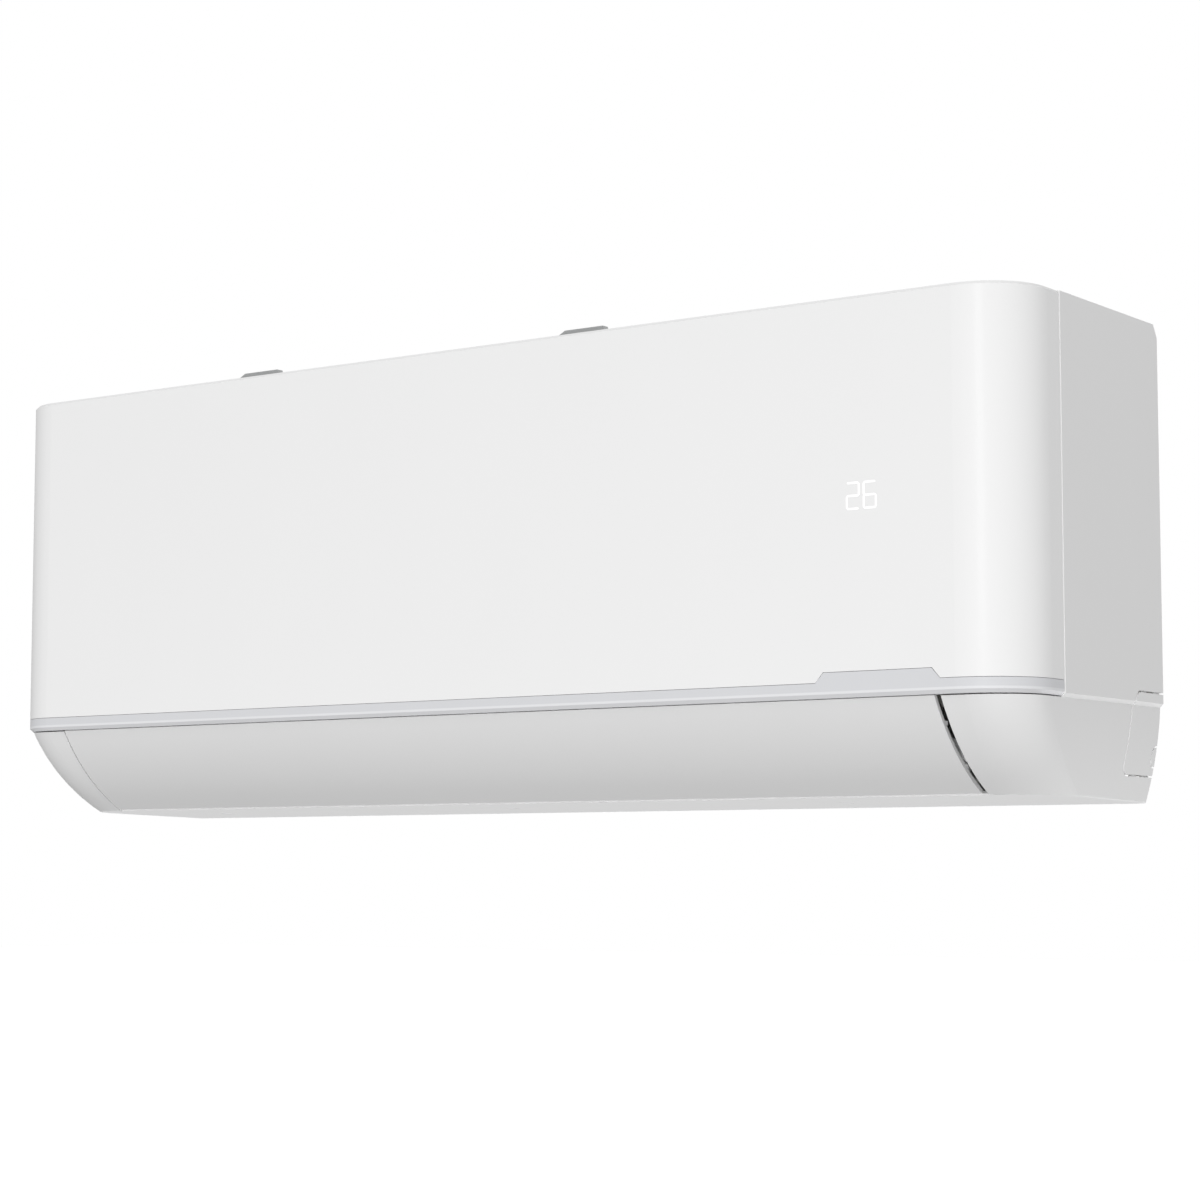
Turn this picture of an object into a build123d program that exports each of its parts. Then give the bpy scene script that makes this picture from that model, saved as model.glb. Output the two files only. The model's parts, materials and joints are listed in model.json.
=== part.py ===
"""Wall-hung indoor unit of a mini split air conditioner.

Millimetres.  +X is to the right as seen from the room, +Y goes into the wall and
+Z is up.  The origin is the middle of the mounting plate's wall face.
"""
from build123d import *
import math
import os

# ---- outside shape ----
width = 800.0
top_z = 145.4
bottom_z = -145.3
depth = 188.0                # wall face to the flat front
wall_gap = 0.3               # rear edge of the casing to the wall
skin = 2.5                   # wall of the moulded casing
running_gap = 0.3            # clear gap between neighbours that don't touch
front_y = -depth
half_width = width / 2

# ---- front panel and trim strip ----
panel_skin = 2.8
panel_return = 55.2          # how far the rounded ends turn back
panel_corner_r = 40.0
seam_gap = 0.8
seam_bevel = 0.7
panel_top_bevel = 1.8
trim_bottom_z = -87.2
trim_height = 8.7
trim_skin = 2.5
trim_shelf = 8.0
trim_shelf_thickness = 1.8
trim_joint_gap = 0.25
tab_left_x = 269.0
tab_right_x = 350.6
tab_slope_run = 5.4
tab_height = 6.0
panel_pivot_y = -150.0
panel_pivot_z = 142.0
panel_pin_r = 1.5
panel_flange = 10.0
panel_arm_x = 348.0
panel_arm_width = 6.0
panel_arm_height = 15.0
panel_ear_gap = 1.0
panel_ear_thickness = 2.5

# ---- lower part of the casing ----
ledge_gap = 0.7
bevel = 2.2                  # slope round the lower edge of strip and sides
cheek_inset = bevel
lower_setback = 5.4          # lower face behind the trim, at its top
lower_runback = 62.2         # lower face behind the front, at its bottom edge
lower_edge_z = -142.4
lower_bulge = 5.5
cheek_bottom_inset = 12.8    # sides lean in towards the bottom
cheek_straight_share = 0.3
cheek_rim_r = 1.5
lower_levels = 6
cheek_corner_r = 34.0
rear_chamfer_y = 5.0
rear_chamfer_z = 8.0
inner_front_inset_x = 8.0    # casing behind the panel's rounded ends
inner_front_y = -170.0
inner_corner_r = 32.0
lower_top_z = trim_bottom_z - ledge_gap
cheek_roof = 2.8
front_wall_bottom_z = -84.0
nose_depth = 6.5

# ---- air flap ----
flap_half_length = 346.9
flap_side_gap = 1.0
flap_right_short = 3.1       # the right end stops this much earlier than the left
flap_arm_setback = 2.5
flap_rib_shares = (0.28, 0.72)
flap_skin = 2.5
flap_end_gap = 1.3
flap_pivot_y = -141.0
flap_pivot_z = -121.0
flap_pin_r = 3.0
flap_pin_gap = 0.05
flap_arm_thickness = 3.0
flap_arm_r = 6.5
flap_bush_r = 5.5
flap_bush_length = 4.0
flap_motor_offset = 8.0
flap_motor_r = 12.0
flap_motor_length = 18.0
flap_motor_ear = 1.0
flap_motor_reach = 17.0
flap_sweep_r = 33.0          # room kept free round the flap's axis behind it
lip_y = -124.3
lip_chamfer = 1.5
cheek_wall = 2.5
pipe_room_depth = 60.0       # left free for the pipes in front of the wall

# ---- top intake and filters ----
slot_width = 8.0
slot_length = 58.0
slot_pitch = 13.2
slot_rows_y = (-116.0, -48.0)
filter_pitch = 268.7
filter_mid_x = -39.15        # between the two filters
filter_front_y = -171.0
filter_rear_y = -14.0
filter_lift = 0.3
filter_thickness = 2.2
filter_rim = 6.0
filter_rib = 1.6
filter_columns = 4
filter_rows = 3
mesh_thickness = 0.5
tab_width = 40.0
tab_offset_x = -3.8            # the tab sits a little left of its filter's middle
tab_slopes = (9.0, 2.0)        # how far its two ends slope in
tab_depth = 3.5
filter_tab_top_z = 150.6
rail_thickness = 0.9
rail_lip = 1.2
rail_side_gap = 0.1

# ---- fan ----
fan_y = -92.0
fan_z = -35.0
fan_r = 46.0
fan_inner_r = 34.0
fan_left_x = -328.0
fan_right_x = 250.0
fan_disc = 2.0
fan_sections = 6
fan_blades = 36
blade_thickness = 1.1
blade_bulge = 2.4
blade_sweep_deg = 9.0
shaft_r = 4.0
shaft_gap = 0.05
hub_r = 13.0
hub_length = 9.0
stub_length = 16.0
motor_left_x = 272.0
motor_length = 54.0
motor_r = 42.0
motor_boss_r = 14.0
motor_boss_length = 4.0
motor_rim_r = 3.0
saddle_web_y = -40.0
strap_thickness = 2.5
strap_width = 18.0
strap_flange = 13.0
saddle_thickness = 4.0

# ---- rear chassis ----
chassis_half_x = 385.0
chassis_wall = 2.5
chassis_rear_y = -9.5
chassis_top_z = 138.0
chassis_wall_bottom_z = -50.0
bulkhead_thickness = 3.0
bulkhead_top_z = 132.0
bulkhead_front_y = -164.0
bulkhead_shoulder_z = 60.0
bulkhead_chin_y = -150.0
bulkhead_chin_z = -70.0
bulkhead_foot_y = (-60.0, -40.0)
bulkhead_left_x = -345.0
bulkhead_right_x = 262.0
rest_height = 6.0
bearing_mount_r = 14.0
bearing_r = 9.0
scroll_wall = 3.0
scroll_top_deg = 40.0
scroll_top_r = 54.0
scroll_rear_r = 57.0
scroll_exit_deg = -50.0
scroll_exit_r = 63.0
floor_end_y = -116.0
floor_slope_deg = 40.0
pillar_r = 5.0
pillar_bottom_z = -136.0
pillar_y = -66.0
pillar_x = (-300.0, -41.5, 217.0)
screw_r = 1.9
screw_gap = 0.1
screw_head_r = 4.2
screw_head_height = 2.2
screw_length = 15.0
recess_r = 5.0
boss_r = 7.5
cap_thickness = 1.4
cap_seat_gap = 0.1

# ---- swing vanes ----
vane_count_per_gang = 5
vane_pitch = 58.0
vane_mid_x = -41.5
vane_base_y = -88.0
vane_thickness = 1.6
vane_up = 14.0
vane_down = 16.0
vane_height = 21.5
vane_foot_gap = 0.6
vane_nose_high = 0.75
vane_nose_long = 0.6
vane_corner_r = 1.5
vane_pin_r = 2.0
vane_boss_r = 2.6
vane_pin_length = 2.6
vane_link_arm = 9.0
vane_top_pin_r = 1.5
vane_top_pin_length = 3.2
link_width = 6.5
link_thickness = 2.2
link_lift = 0.3
link_tab_height = 6.0

# ---- evaporator and drain pan ----
coil_left_x = -324.0
coil_right_x = 244.0
coil_thickness = 20.0
fin_pitch = 5.0
fin_depth = 1.2
fin_width = 2.6
end_plate = 1.0
tube_r = 3.5
tube_gap = 0.1
tube_pitch = 20.0
tube_end_room = 12
tube_row_offset = 4.5
front_coil_y = -153.5
front_coil_bottom_z = -54.0
front_coil_top_z = 40.0
top_coil_foot = (-150.0, 49.0)
top_coil_head = (-96.0, 112.0)
rear_coil_head = (-80.0, 120.0)
rear_coil_foot = (-40.0, 32.0)
pan_left_x = -341.7
pan_right_x = 261.7
pan_wall = 2.5
pan_front_y = inner_front_y + skin + 1.2
pan_inner_y = pan_front_y + pan_wall
pan_rear_y = front_coil_y + coil_thickness / 2 + 2.2
pan_lip_z = -80.5
pan_top_z = -44.0
pan_floor_z = -69.0
pan_rear_top_z = -46.0
pan_step = ((pan_rear_y - 4.0, -60.5), (pan_rear_y, -57.0))
pan_nose = ((-139.6, pan_rear_top_z), (-138.4, -52.0), (-137.5, -57.0))
spigot_r = 8.0
spigot_bore_r = 6.0
spigot_length = 16.0
spigot_collar_r = 9.0
spigot_collar_length = 4.3
spigot_y = -152.5
spigot_z = -58.0

# ---- refrigerant pipes ----
liquid_pipe_r = 3.175
gas_pipe_r = 4.76
pipe_channel_y = -22.0
gas_channel_z = -62.0
liquid_channel_z = -88.0
gas_turn_x = -372.0
liquid_turn_x = -358.0
pipe_wall = 0.8
clamp_x = (-215.0, -203.0)
clamp_margin = (7.0, 9.0)      # plastic below and above the pipes
clamp_clearance = 0.05
pipe_bend_r = 12.0
pipe_end_x = -60.0
liquid_nut_af = 12.0
gas_nut_af = 18.0
nut_length = 12.0
liquid_stud_r = 5.55
gas_stud_r = 7.94
stud_length = 13.0

# ---- electrical parts ----
box_left_x = 334.0
box_right_x = 384.0
box_front_y = -146.0
box_bottom_z = -72.0
box_top_z = 108.0
box_wall = 2.0
board_thickness = 1.6
box_post_y = (-130.0, -50.0)
box_post_z = (-50.0, 85.0)
box_post_r = 3.0
box_post_height = 4.0
control_board_y = (-138.0, -30.0)
control_board_z = (-58.0, 93.0)
terminal_count = 5
terminal_pitch = 8.8
terminal_depth = 16.0
terminal_y = (-136.0, -118.0)
terminal_z = -32.0
terminal_hole_r = 2.6
terminal_hole_depth = 8.0
capacitor_y = -60.0
capacitor_z = 60.0
capacitor_r = 11.0
capacitor_length = 28.0
capacitor_rim_r = 1.5
core_width = 24.0              # transformer core
core_y = (-110.0, -76.0)
core_z = (10.0, 50.0)
core_leg = 4.0
display_left_x = 284.0
display_right_x = 322.0
display_bottom_z = -81.2
display_top_z = 46.0
digits_mid_x = 300.7
digits_mid_z = 28.6
digits_width = 25.0
digits_height = 20.0
digits_depth = 10.0
receiver_x = 309.8
receiver_z = -75.5
receiver_size = 8.0
receiver_lens_r = 3.2
sensor_off = 4.0               # axis of the room air sensor from the bulkhead
sensor_y = -156.0
sensor_z = (20.0, 44.0)
sensor_r = 2.5
sensor_clip = 6.0
sensor_clip_z = 26.0
sensor_clip_height = 10.0
button_x = 352.0
button_z = 30.0
button_r = 4.0
button_flange_r = 5.2
button_flange_thickness = 1.3
button_rim_r = 0.8
button_stem_r = 1.5
switch_board_half = 10.0
switch_half = 3.0
button_gap = 0.15
button_stands_out = 4.0
button_travel = 1.5
switch_height = 4.0
switch_gap = 0.2

# ---- mounting plate ----
plate_thickness = 1.5
plate_half_x = 270.0
plate_half_z = 100.0
plate_corner_r = 8.0
plate_hole_r = 2.75
plate_hole_x = 225.0
plate_hole_z = 70.0
hook_x = 190.0
hook_width = 36.0
hook_z = 104.0
hook_lip = 6.0
hook_gap = 0.3
plate_window_width = 60.0
plate_window_height = 60.0
plate_window_x = (-180.0, -60.0, 60.0, 180.0)

# ---- knock-out pipe covers ----
cover_top_z = -80.2
cover_bottom_z = -128.9
cover_front_top_y = -37.5
cover_front_bottom_y = -42.0
cover_gap = 1.0
cover_corner_r = 6.0
end_plate_y = -113.0          # upright of the plate beside the outlet
end_plate_front_y = -160.0
end_plate_top_z = -91.0
end_plate_wall = 2.0
rear_lip_inner_x = 378.0     # lip along the rear edge behind each knock-out cover
rear_lip_top_z = -66.0
cover_notch_r = 6.8
cover_notch_z = -117.7
cover_bridge = 3.0
cover_web_recess = 1.2
cover_web_y = ((-28.0, -21.6), (-13.0, -3.5))
cover_web_z = (-95.0, -112.0)


# ---------------------------------------------------------------- helpers
def block(x0, x1, y0, y1, z0, z1):
    """Box between two corners."""
    return Pos((x0 + x1) / 2, (y0 + y1) / 2, (z0 + z1) / 2) * Box(x1 - x0, y1 - y0, z1 - z0)


def rod_x(y, z, r, x0, x1):
    """Round bar along X."""
    return Pos((x0 + x1) / 2, y, z) * Rot(0, 90, 0) * Cylinder(r, x1 - x0)


def rod_y(x, z, r, y0, y1):
    """Round bar along Y."""
    return Pos(x, (y0 + y1) / 2, z) * Rot(90, 0, 0) * Cylinder(r, y1 - y0)


def rod_z(x, y, r, z0, z1):
    """Round bar along Z."""
    return Pos(x, y, (z0 + z1) / 2) * Cylinder(r, z1 - z0)


def along_x(edges, x0, x1):
    """Sweep a closed outline, drawn as (y, z), from x0 to x1."""
    return Pos(x0, 0, 0) * extrude(Plane.YZ * make_face(Wire(edges)), x1 - x0, dir=(1, 0, 0))


def plate_x(points, x0, x1):
    """Flat plate across X with straight sides, drawn as (y, z)."""
    return along_x(Polyline(*points, close=True).edges(), x0, x1)


def about_fan(angle_deg, radius):
    """Point (y, z) at an angle and distance from the fan's axis."""
    angle = math.radians(angle_deg)
    return (fan_y + radius * math.cos(angle), fan_z + radius * math.sin(angle))


def about_flap(angle_deg, radius):
    """Point (y, z) at an angle and distance from the flap's axis."""
    angle = math.radians(angle_deg)
    return (flap_pivot_y + radius * math.cos(angle), flap_pivot_z + radius * math.sin(angle))


def both_sides(shape):
    """A shape and its mirror image across the middle of the unit."""
    return [shape, mirror(shape, Plane.YZ)]


def write(name, shape):
    """One file for each named piece."""
    export_step(shape, "parts/" + name + ".step")


# ---------------------------------------------------------------- lower face
def lower_arc_centre():
    """Centre (y, z) and radius of the arc that the lower face follows."""
    start = (front_y + lower_setback, lower_top_z)
    end = (front_y + lower_runback, lower_edge_z)
    run = (end[0] - start[0], end[1] - start[1])
    chord = math.hypot(run[0], run[1])
    radius = (chord * chord / 4 + lower_bulge * lower_bulge) / (2 * lower_bulge)
    reach = radius - lower_bulge
    inward = (-run[1] / chord, run[0] / chord)
    middle = ((start[0] + end[0]) / 2, (start[1] + end[1]) / 2)
    return (middle[0] + inward[0] * reach, middle[1] + inward[1] * reach), radius


def on_lower_arc(z, inset):
    """Point (y, z) at a height on the lower face, moved in by the inset."""
    (centre_y, centre_z), radius = lower_arc_centre()
    r = radius - inset
    return (centre_y - math.sqrt(r * r - (z - centre_z) ** 2), z)


def lower_arc(z_from, z_to, inset):
    """Arc of the lower face between two heights, moved straight in by the inset."""
    (centre_y, centre_z), radius = lower_arc_centre()
    points = []
    for z in (z_from, (z_from + z_to) / 2, z_to):
        y = on_lower_arc(z, 0)[0]
        share = inset / radius
        points.append((y + (centre_y - y) * share, z + (centre_z - z) * share))
    return ThreePointArc(*points)


def cheek_half_width(z, inset):
    """Half width of the lower casing, whose sides lean in more and more."""
    share = (lower_top_z - z) / (lower_top_z - bottom_z)
    lean = cheek_straight_share * share + (1 - cheek_straight_share) * share * share
    return half_width - inset - cheek_inset - (cheek_bottom_inset - cheek_inset) * lean


def lower_section(z, inset, rear_y):
    """Level outline of the lower casing, with round front corners."""
    half = cheek_half_width(z, inset)
    face_y = on_lower_arc(z, inset)[0]
    r = cheek_corner_r - inset
    right = Line((half, rear_y), (half, face_y + r))
    right_turn = RadiusArc((half, face_y + r), (half - r, face_y), r)
    face = Line((half - r, face_y), (r - half, face_y))
    left_turn = RadiusArc((r - half, face_y), (-half, face_y + r), r)
    rest = Polyline((-half, face_y + r), (-half, rear_y), (half, rear_y))
    outline = [right.edge(), right_turn.edge(), face.edge(), left_turn.edge(), *rest.edges()]
    return Pos(0, 0, z) * make_face(Wire(outline))


def lower_body(inset, roof_z, rear_y):
    """Lower casing as a full body, everywhere moved in by the inset."""
    low_z = bottom_z - skin
    levels = [roof_z + (low_z - roof_z) * i / lower_levels for i in range(lower_levels + 1)]
    body = loft([lower_section(z, inset, rear_y) for z in levels])
    edge = on_lower_arc(lower_edge_z + inset, inset)
    slope = (bottom_z - lower_edge_z) / (-wall_gap - edge[0])
    far_y = edge[0] - panel_corner_r
    back_y = rear_y + skin
    below = plate_x([(far_y, edge[1] + (far_y - edge[0]) * slope),
                     (back_y, edge[1] + (back_y - edge[0]) * slope),
                     (back_y, edge[1] - depth), (far_y, edge[1] - depth)], -half_width, half_width)
    body -= below
    rim = [e for e in body.edges() if e.bounding_box().max.Z < lower_edge_z + inset + skin / 2
           and e.center().Y < rear_y - skin / 2]
    return fillet(rim, max(cheek_rim_r - inset, skin / 4))


# ---------------------------------------------------------------- front panel
def u_shell(outset, thickness, z0, z1):
    """Flat front with two rounded ends turned back to the seam."""
    seam_y = front_y + panel_return
    half = half_width - outset
    front = front_y + outset
    outer = RectangleRounded(2 * half, 2 * half, panel_corner_r - outset)
    inner = RectangleRounded(2 * (half - thickness), 2 * (half - thickness),
                             panel_corner_r - outset - thickness)
    ring = Pos(0, front + half) * (outer - inner)
    front_part = Pos(0, seam_y - half_width) * Rectangle(2 * width, width)
    return Pos(0, 0, z0) * extrude(ring & front_part, z1 - z0)


def trim_tab_outline(grow):
    """Raised tab of the trim strip, seen from the front."""
    base_z = trim_bottom_z + trim_height
    crest_z = base_z + tab_height + grow
    return [(tab_left_x - grow, base_z - trim_skin), (tab_left_x - grow, base_z),
            (tab_left_x + tab_slope_run - grow, crest_z), (tab_right_x - tab_slope_run + grow, crest_z),
            (tab_right_x + grow, base_z), (tab_right_x + grow, base_z - trim_skin)]


def trim_tab(grow, y0, y1):
    face = make_face(Polyline(*trim_tab_outline(grow), close=True))
    return Pos(0, y1, 0) * extrude(Plane.XZ * face, y1 - y0, dir=(0, -1, 0))


def round_square(inset):
    """Level outline whose front half is the outline of the panel, moved in by the inset."""
    side = 2 * (half_width - inset)
    return Pos(0, front_y + half_width) * RectangleRounded(side, side, panel_corner_r - inset)


def make_trim_strip():
    """Silver strip with a bevelled lower edge, an inward shelf and a raised tab."""
    top = trim_bottom_z + trim_height
    strip = Pos(0, 0, trim_bottom_z) * extrude(round_square(0), trim_height)
    strip = chamfer(strip.faces().sort_by(Axis.Z)[0].edges(), bevel)
    strip -= Pos(0, 0, trim_bottom_z + trim_shelf_thickness) * extrude(round_square(trim_skin), trim_height)
    strip -= Pos(0, 0, trim_bottom_z - skin) * extrude(round_square(trim_shelf), trim_height)
    strip &= block(-width, width, front_y - skin, front_y + panel_return, trim_bottom_z - skin, top)
    return strip + trim_tab(0, front_y, front_y + trim_skin)


def make_front_panel():
    """Panel shell, notched for the trim's tab, with its two hinge arms."""
    bottom = trim_bottom_z + trim_height + trim_joint_gap
    shell = u_shell(0, panel_skin, bottom, top_z)
    shell -= trim_tab(trim_joint_gap, front_y - skin, front_y + 2 * skin)
    shell += u_shell(0, inner_front_inset_x - seam_gap, top_z - trim_skin, top_z)
    shell += block(panel_corner_r - half_width, half_width - panel_corner_r, front_y + panel_skin,
                   front_y + panel_flange, top_z - trim_skin, top_z)
    shell += block(-half_width + 2 * panel_corner_r, tab_left_x - 2 * tab_height,
                   front_y + panel_skin, front_y + panel_skin + trim_skin,
                   bottom, bottom + trim_skin)
    outside = Pos(0, 0, bottom - skin) * extrude(round_square(0), top_z - bottom + skin)
    shell &= chamfer(outside.faces().sort_by(Axis.Z)[-1].edges(), panel_top_bevel)
    inner_y = front_y + panel_skin
    for side in (-1, 1):
        middle = side * panel_arm_x
        x0 = middle - panel_arm_width / 2
        x1 = middle + panel_arm_width / 2
        bar = block(x0, x1, inner_y, panel_pivot_y, panel_pivot_z - 2 * panel_pin_r,
                    panel_pivot_z + 2 * panel_pin_r)
        heel = plate_x([(inner_y, panel_pivot_z - panel_arm_height),
                        (inner_y + panel_arm_height, panel_pivot_z),
                        (inner_y, panel_pivot_z)], x0, x1)
        eye = rod_x(panel_pivot_y, panel_pivot_z, 2 * panel_pin_r, x0, x1)
        reach = panel_arm_width / 2 + panel_ear_gap + panel_ear_thickness
        pin = rod_x(panel_pivot_y, panel_pivot_z, panel_pin_r, middle - reach, middle + reach)
        shell += bar + heel + eye + pin
    return shell


# ---------------------------------------------------------------- outer casing
def cover_outline(grow):
    """Knock-out area at the lower rear corner of a side, drawn as (y, z)."""
    front_top = cover_front_top_y - grow
    front_bottom = cover_front_bottom_y - grow
    return [(skin, cover_top_z + grow), (front_top, cover_top_z + grow),
            (front_bottom, cover_bottom_z - grow), (skin, cover_bottom_z - grow)]


def cover_prism(grow):
    """The knock-out area through the right side wall, front corner rounded."""
    prism = plate_x(cover_outline(grow), half_width - 4 * skin - cheek_bottom_inset, half_width + skin)
    corner = prism.edges().filter_by(Axis.X).sort_by(Axis.Y)[0:2]
    return fillet(corner, cover_corner_r + grow)


def cover_bridges():
    """Short webs across the slit that hold a knock-out cover, set back from the surface."""
    x0 = half_width - 4 * skin - cheek_bottom_inset
    upper_x = half_width - cover_web_recess
    lower_x = cheek_half_width(cover_bottom_z, cover_web_recess)
    webs = []
    for y0, y1 in cover_web_y:
        webs.append(block(x0, upper_x, y0, y1, cover_top_z, cover_top_z + 2 * cover_gap))
        webs.append(block(x0, lower_x, y0, y1, cover_bottom_z - 2 * cover_gap, cover_bottom_z))
    for z in cover_web_z:
        webs.append(block(x0, cheek_half_width(z, cover_web_recess), cover_front_bottom_y - 2 * cover_gap,
                          cover_front_top_y, z - cover_bridge / 2, z + cover_bridge / 2))
    return webs


def cover_notch():
    """Half round slit for a small cable knock-out, held by one web."""
    ends = (half_width - 4 * skin - cheek_bottom_inset, half_width + skin)
    slit = rod_x(-wall_gap, cover_notch_z, cover_notch_r, *ends)
    slit -= rod_x(-wall_gap, cover_notch_z, cover_notch_r - cover_gap, *ends)
    web = block(*ends, -wall_gap - cover_notch_r - skin, -wall_gap - cover_notch_r / 2,
                cover_notch_z - cover_bridge / 2, cover_notch_z + cover_bridge / 2)
    return slit - web


def casing_outside():
    """Outer volume of the casing: rear box, front box and lower body."""
    rear_y = -wall_gap
    seam_y = front_y + panel_return + seam_gap
    rear = block(-half_width, half_width, seam_y, rear_y, lower_top_z, top_z)
    corner = plate_x([(rear_y, top_z - rear_chamfer_z), (rear_y, top_z), (rear_y - rear_chamfer_y, top_z)],
                     -half_width, half_width)
    rear = chamfer(rear.edges().filter_by(Axis.Z).group_by(Axis.Y)[0], seam_bevel)
    rear = chamfer(rear.edges().filter_by(Axis.Y).group_by(Axis.Z)[0], bevel)
    half = half_width - inner_front_inset_x
    front = block(-half, half, inner_front_y, seam_y, lower_top_z, top_z)
    front_corners = front.edges().filter_by(Axis.Z).sort_by(Axis.Y)[0:2]
    front = fillet(front_corners, inner_corner_r)
    lower = lower_body(0, lower_top_z, rear_y)
    return (rear - corner) + front + lower


def casing_hollow():
    """Inner volume of the casing, open at the rear."""
    open_y = 2 * skin
    jog_y = front_y + panel_return + seam_gap + skin
    half = half_width - inner_front_inset_x - skin
    upper_floor = lower_top_z + cheek_roof
    lower_roof = lower_top_z - cheek_roof
    rear = block(-half_width + skin, half_width - skin, jog_y, open_y, upper_floor, top_z - skin)
    front = block(-half, half, inner_front_y + skin, jog_y, lower_roof, top_z - skin)
    front_corners = front.edges().filter_by(Axis.Z).sort_by(Axis.Y)[0:2]
    front = fillet(front_corners, inner_corner_r - skin)
    neck = block(-half, half, jog_y, open_y, lower_roof, upper_floor)
    lower = lower_body(skin, lower_roof, open_y)
    hollow = rear + front + neck + lower
    lip = block(rear_lip_inner_x, half_width, -wall_gap - skin, open_y, bottom_z - skin, rear_lip_top_z)
    for solid in both_sides(lip):
        hollow -= solid
    return hollow


def cheek_inner_walls():
    """Upright walls that close the cheeks beside the flap, with the flap's pin holes."""
    body = lower_body(skin / 2, lower_top_z - skin / 2, -wall_gap)
    x0 = flap_half_length + flap_side_gap
    slab = block(x0, x0 + cheek_wall, front_y, -pipe_room_depth, bottom_z, front_wall_bottom_z)
    hole = rod_x(flap_pivot_y, flap_pivot_z, flap_pin_r + flap_pin_gap, x0 - skin, x0 + 2 * cheek_wall)
    return both_sides((body & slab) - hole)


def intake_slots():
    """Slots through the casing's top under the two filters."""
    slots = []
    count = int((2 * filter_pitch - 2 * filter_rim) // slot_pitch)
    start = filter_mid_x - (count - 1) * slot_pitch / 2
    for row_y in slot_rows_y:
        for i in range(count):
            x = start + i * slot_pitch
            slots.append(block(x - slot_width / 2, x + slot_width / 2, row_y - slot_length / 2,
                               row_y + slot_length / 2, top_z - 2 * skin, top_z + skin))
    return slots


def filter_rails():
    """Three low rails on the top that guide the filters."""
    rails = []
    under = top_z + filter_lift + filter_thickness + filter_lift
    for place in (-1, 0, 1):
        x = filter_mid_x + place * filter_pitch
        rails.append(block(x - rail_thickness / 2, x + rail_thickness / 2,
                           inner_front_y + 2 * skin, filter_rear_y + skin, top_z, under + rail_thickness))
        lip_half = rail_thickness / 2 + rail_lip
        rails.append(block(x - lip_half, x + lip_half, inner_front_y + 2 * skin, filter_rear_y + skin,
                           under, under + rail_thickness))
    return rails


def hinge_pocket(side):
    """Notch in the top front edge for one hinge arm, and the two ears beside it."""
    middle = side * panel_arm_x
    half = panel_arm_width / 2 + panel_ear_gap
    rear_y = panel_pivot_y + 3 * panel_pin_r
    low_z = panel_pivot_z - 3 * panel_pin_r - panel_arm_height
    notch = block(middle - half, middle + half, inner_front_y - skin, rear_y, low_z, top_z + skin)
    wall = block(middle - half - panel_ear_thickness, middle + half + panel_ear_thickness,
                 inner_front_y, rear_y + skin, low_z - skin, top_z)
    hole = rod_x(panel_pivot_y, panel_pivot_z, panel_pin_r + shaft_gap,
                 middle - half - 2 * panel_ear_thickness, middle + half + 2 * panel_ear_thickness)
    return wall, notch, hole


def screw_place_z(y):
    """Height of the casing's bottom surface at a depth."""
    front_edge = front_y + lower_runback
    share = (y - front_edge) / (-wall_gap - front_edge)
    return lower_edge_z + share * (bottom_z - lower_edge_z)


def make_outer_casing():
    """The casing with everything cut and added, knock-outs removed."""
    casing = casing_outside() - casing_hollow()
    flap_room = flap_half_length + flap_side_gap
    casing -= block(-flap_room, flap_room, front_y - skin, lip_y, bottom_z - skin, front_wall_bottom_z)
    lip_z = screw_place_z(lip_y) + skin
    casing -= plate_x([(lip_y - 1, lip_z - lip_chamfer - 1), (lip_y - 1, lip_z + 1),
                       (lip_y + lip_chamfer + 1, lip_z + 1)], -flap_room, flap_room)
    nose = block(-flap_room, flap_room, inner_front_y - nose_depth, inner_front_y + nose_depth,
                 front_wall_bottom_z, front_wall_bottom_z + skin)
    casing += nose
    for wall in cheek_inner_walls():
        casing += wall
    for side in (-1, 1):
        wall, notch, hole = hinge_pocket(side)
        casing = casing + wall - notch - hole
    casing -= intake_slots()
    for rail in filter_rails():
        casing += rail
    for x in pillar_x:
        base_z = screw_place_z(pillar_y)
        casing += rod_z(x, pillar_y, boss_r, base_z + skin / 2, pillar_bottom_z - running_gap)
        casing -= rod_z(x, pillar_y, recess_r, bottom_z - skin, pillar_bottom_z - running_gap - skin)
        casing -= rod_z(x, pillar_y, screw_r + screw_gap, bottom_z, pillar_bottom_z + skin)
    casing -= rod_y(button_x, button_z, button_r + button_gap, inner_front_y - skin,
                    inner_front_y + 2 * skin)
    opening = cover_prism(cover_gap)
    for web in cover_bridges():
        opening -= web
    opening += cover_prism(0)
    solid_right = casing & cover_prism(0)
    solid_right -= cover_notch()
    for cut in both_sides(opening):
        casing -= cut
    return casing, solid_right


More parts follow.
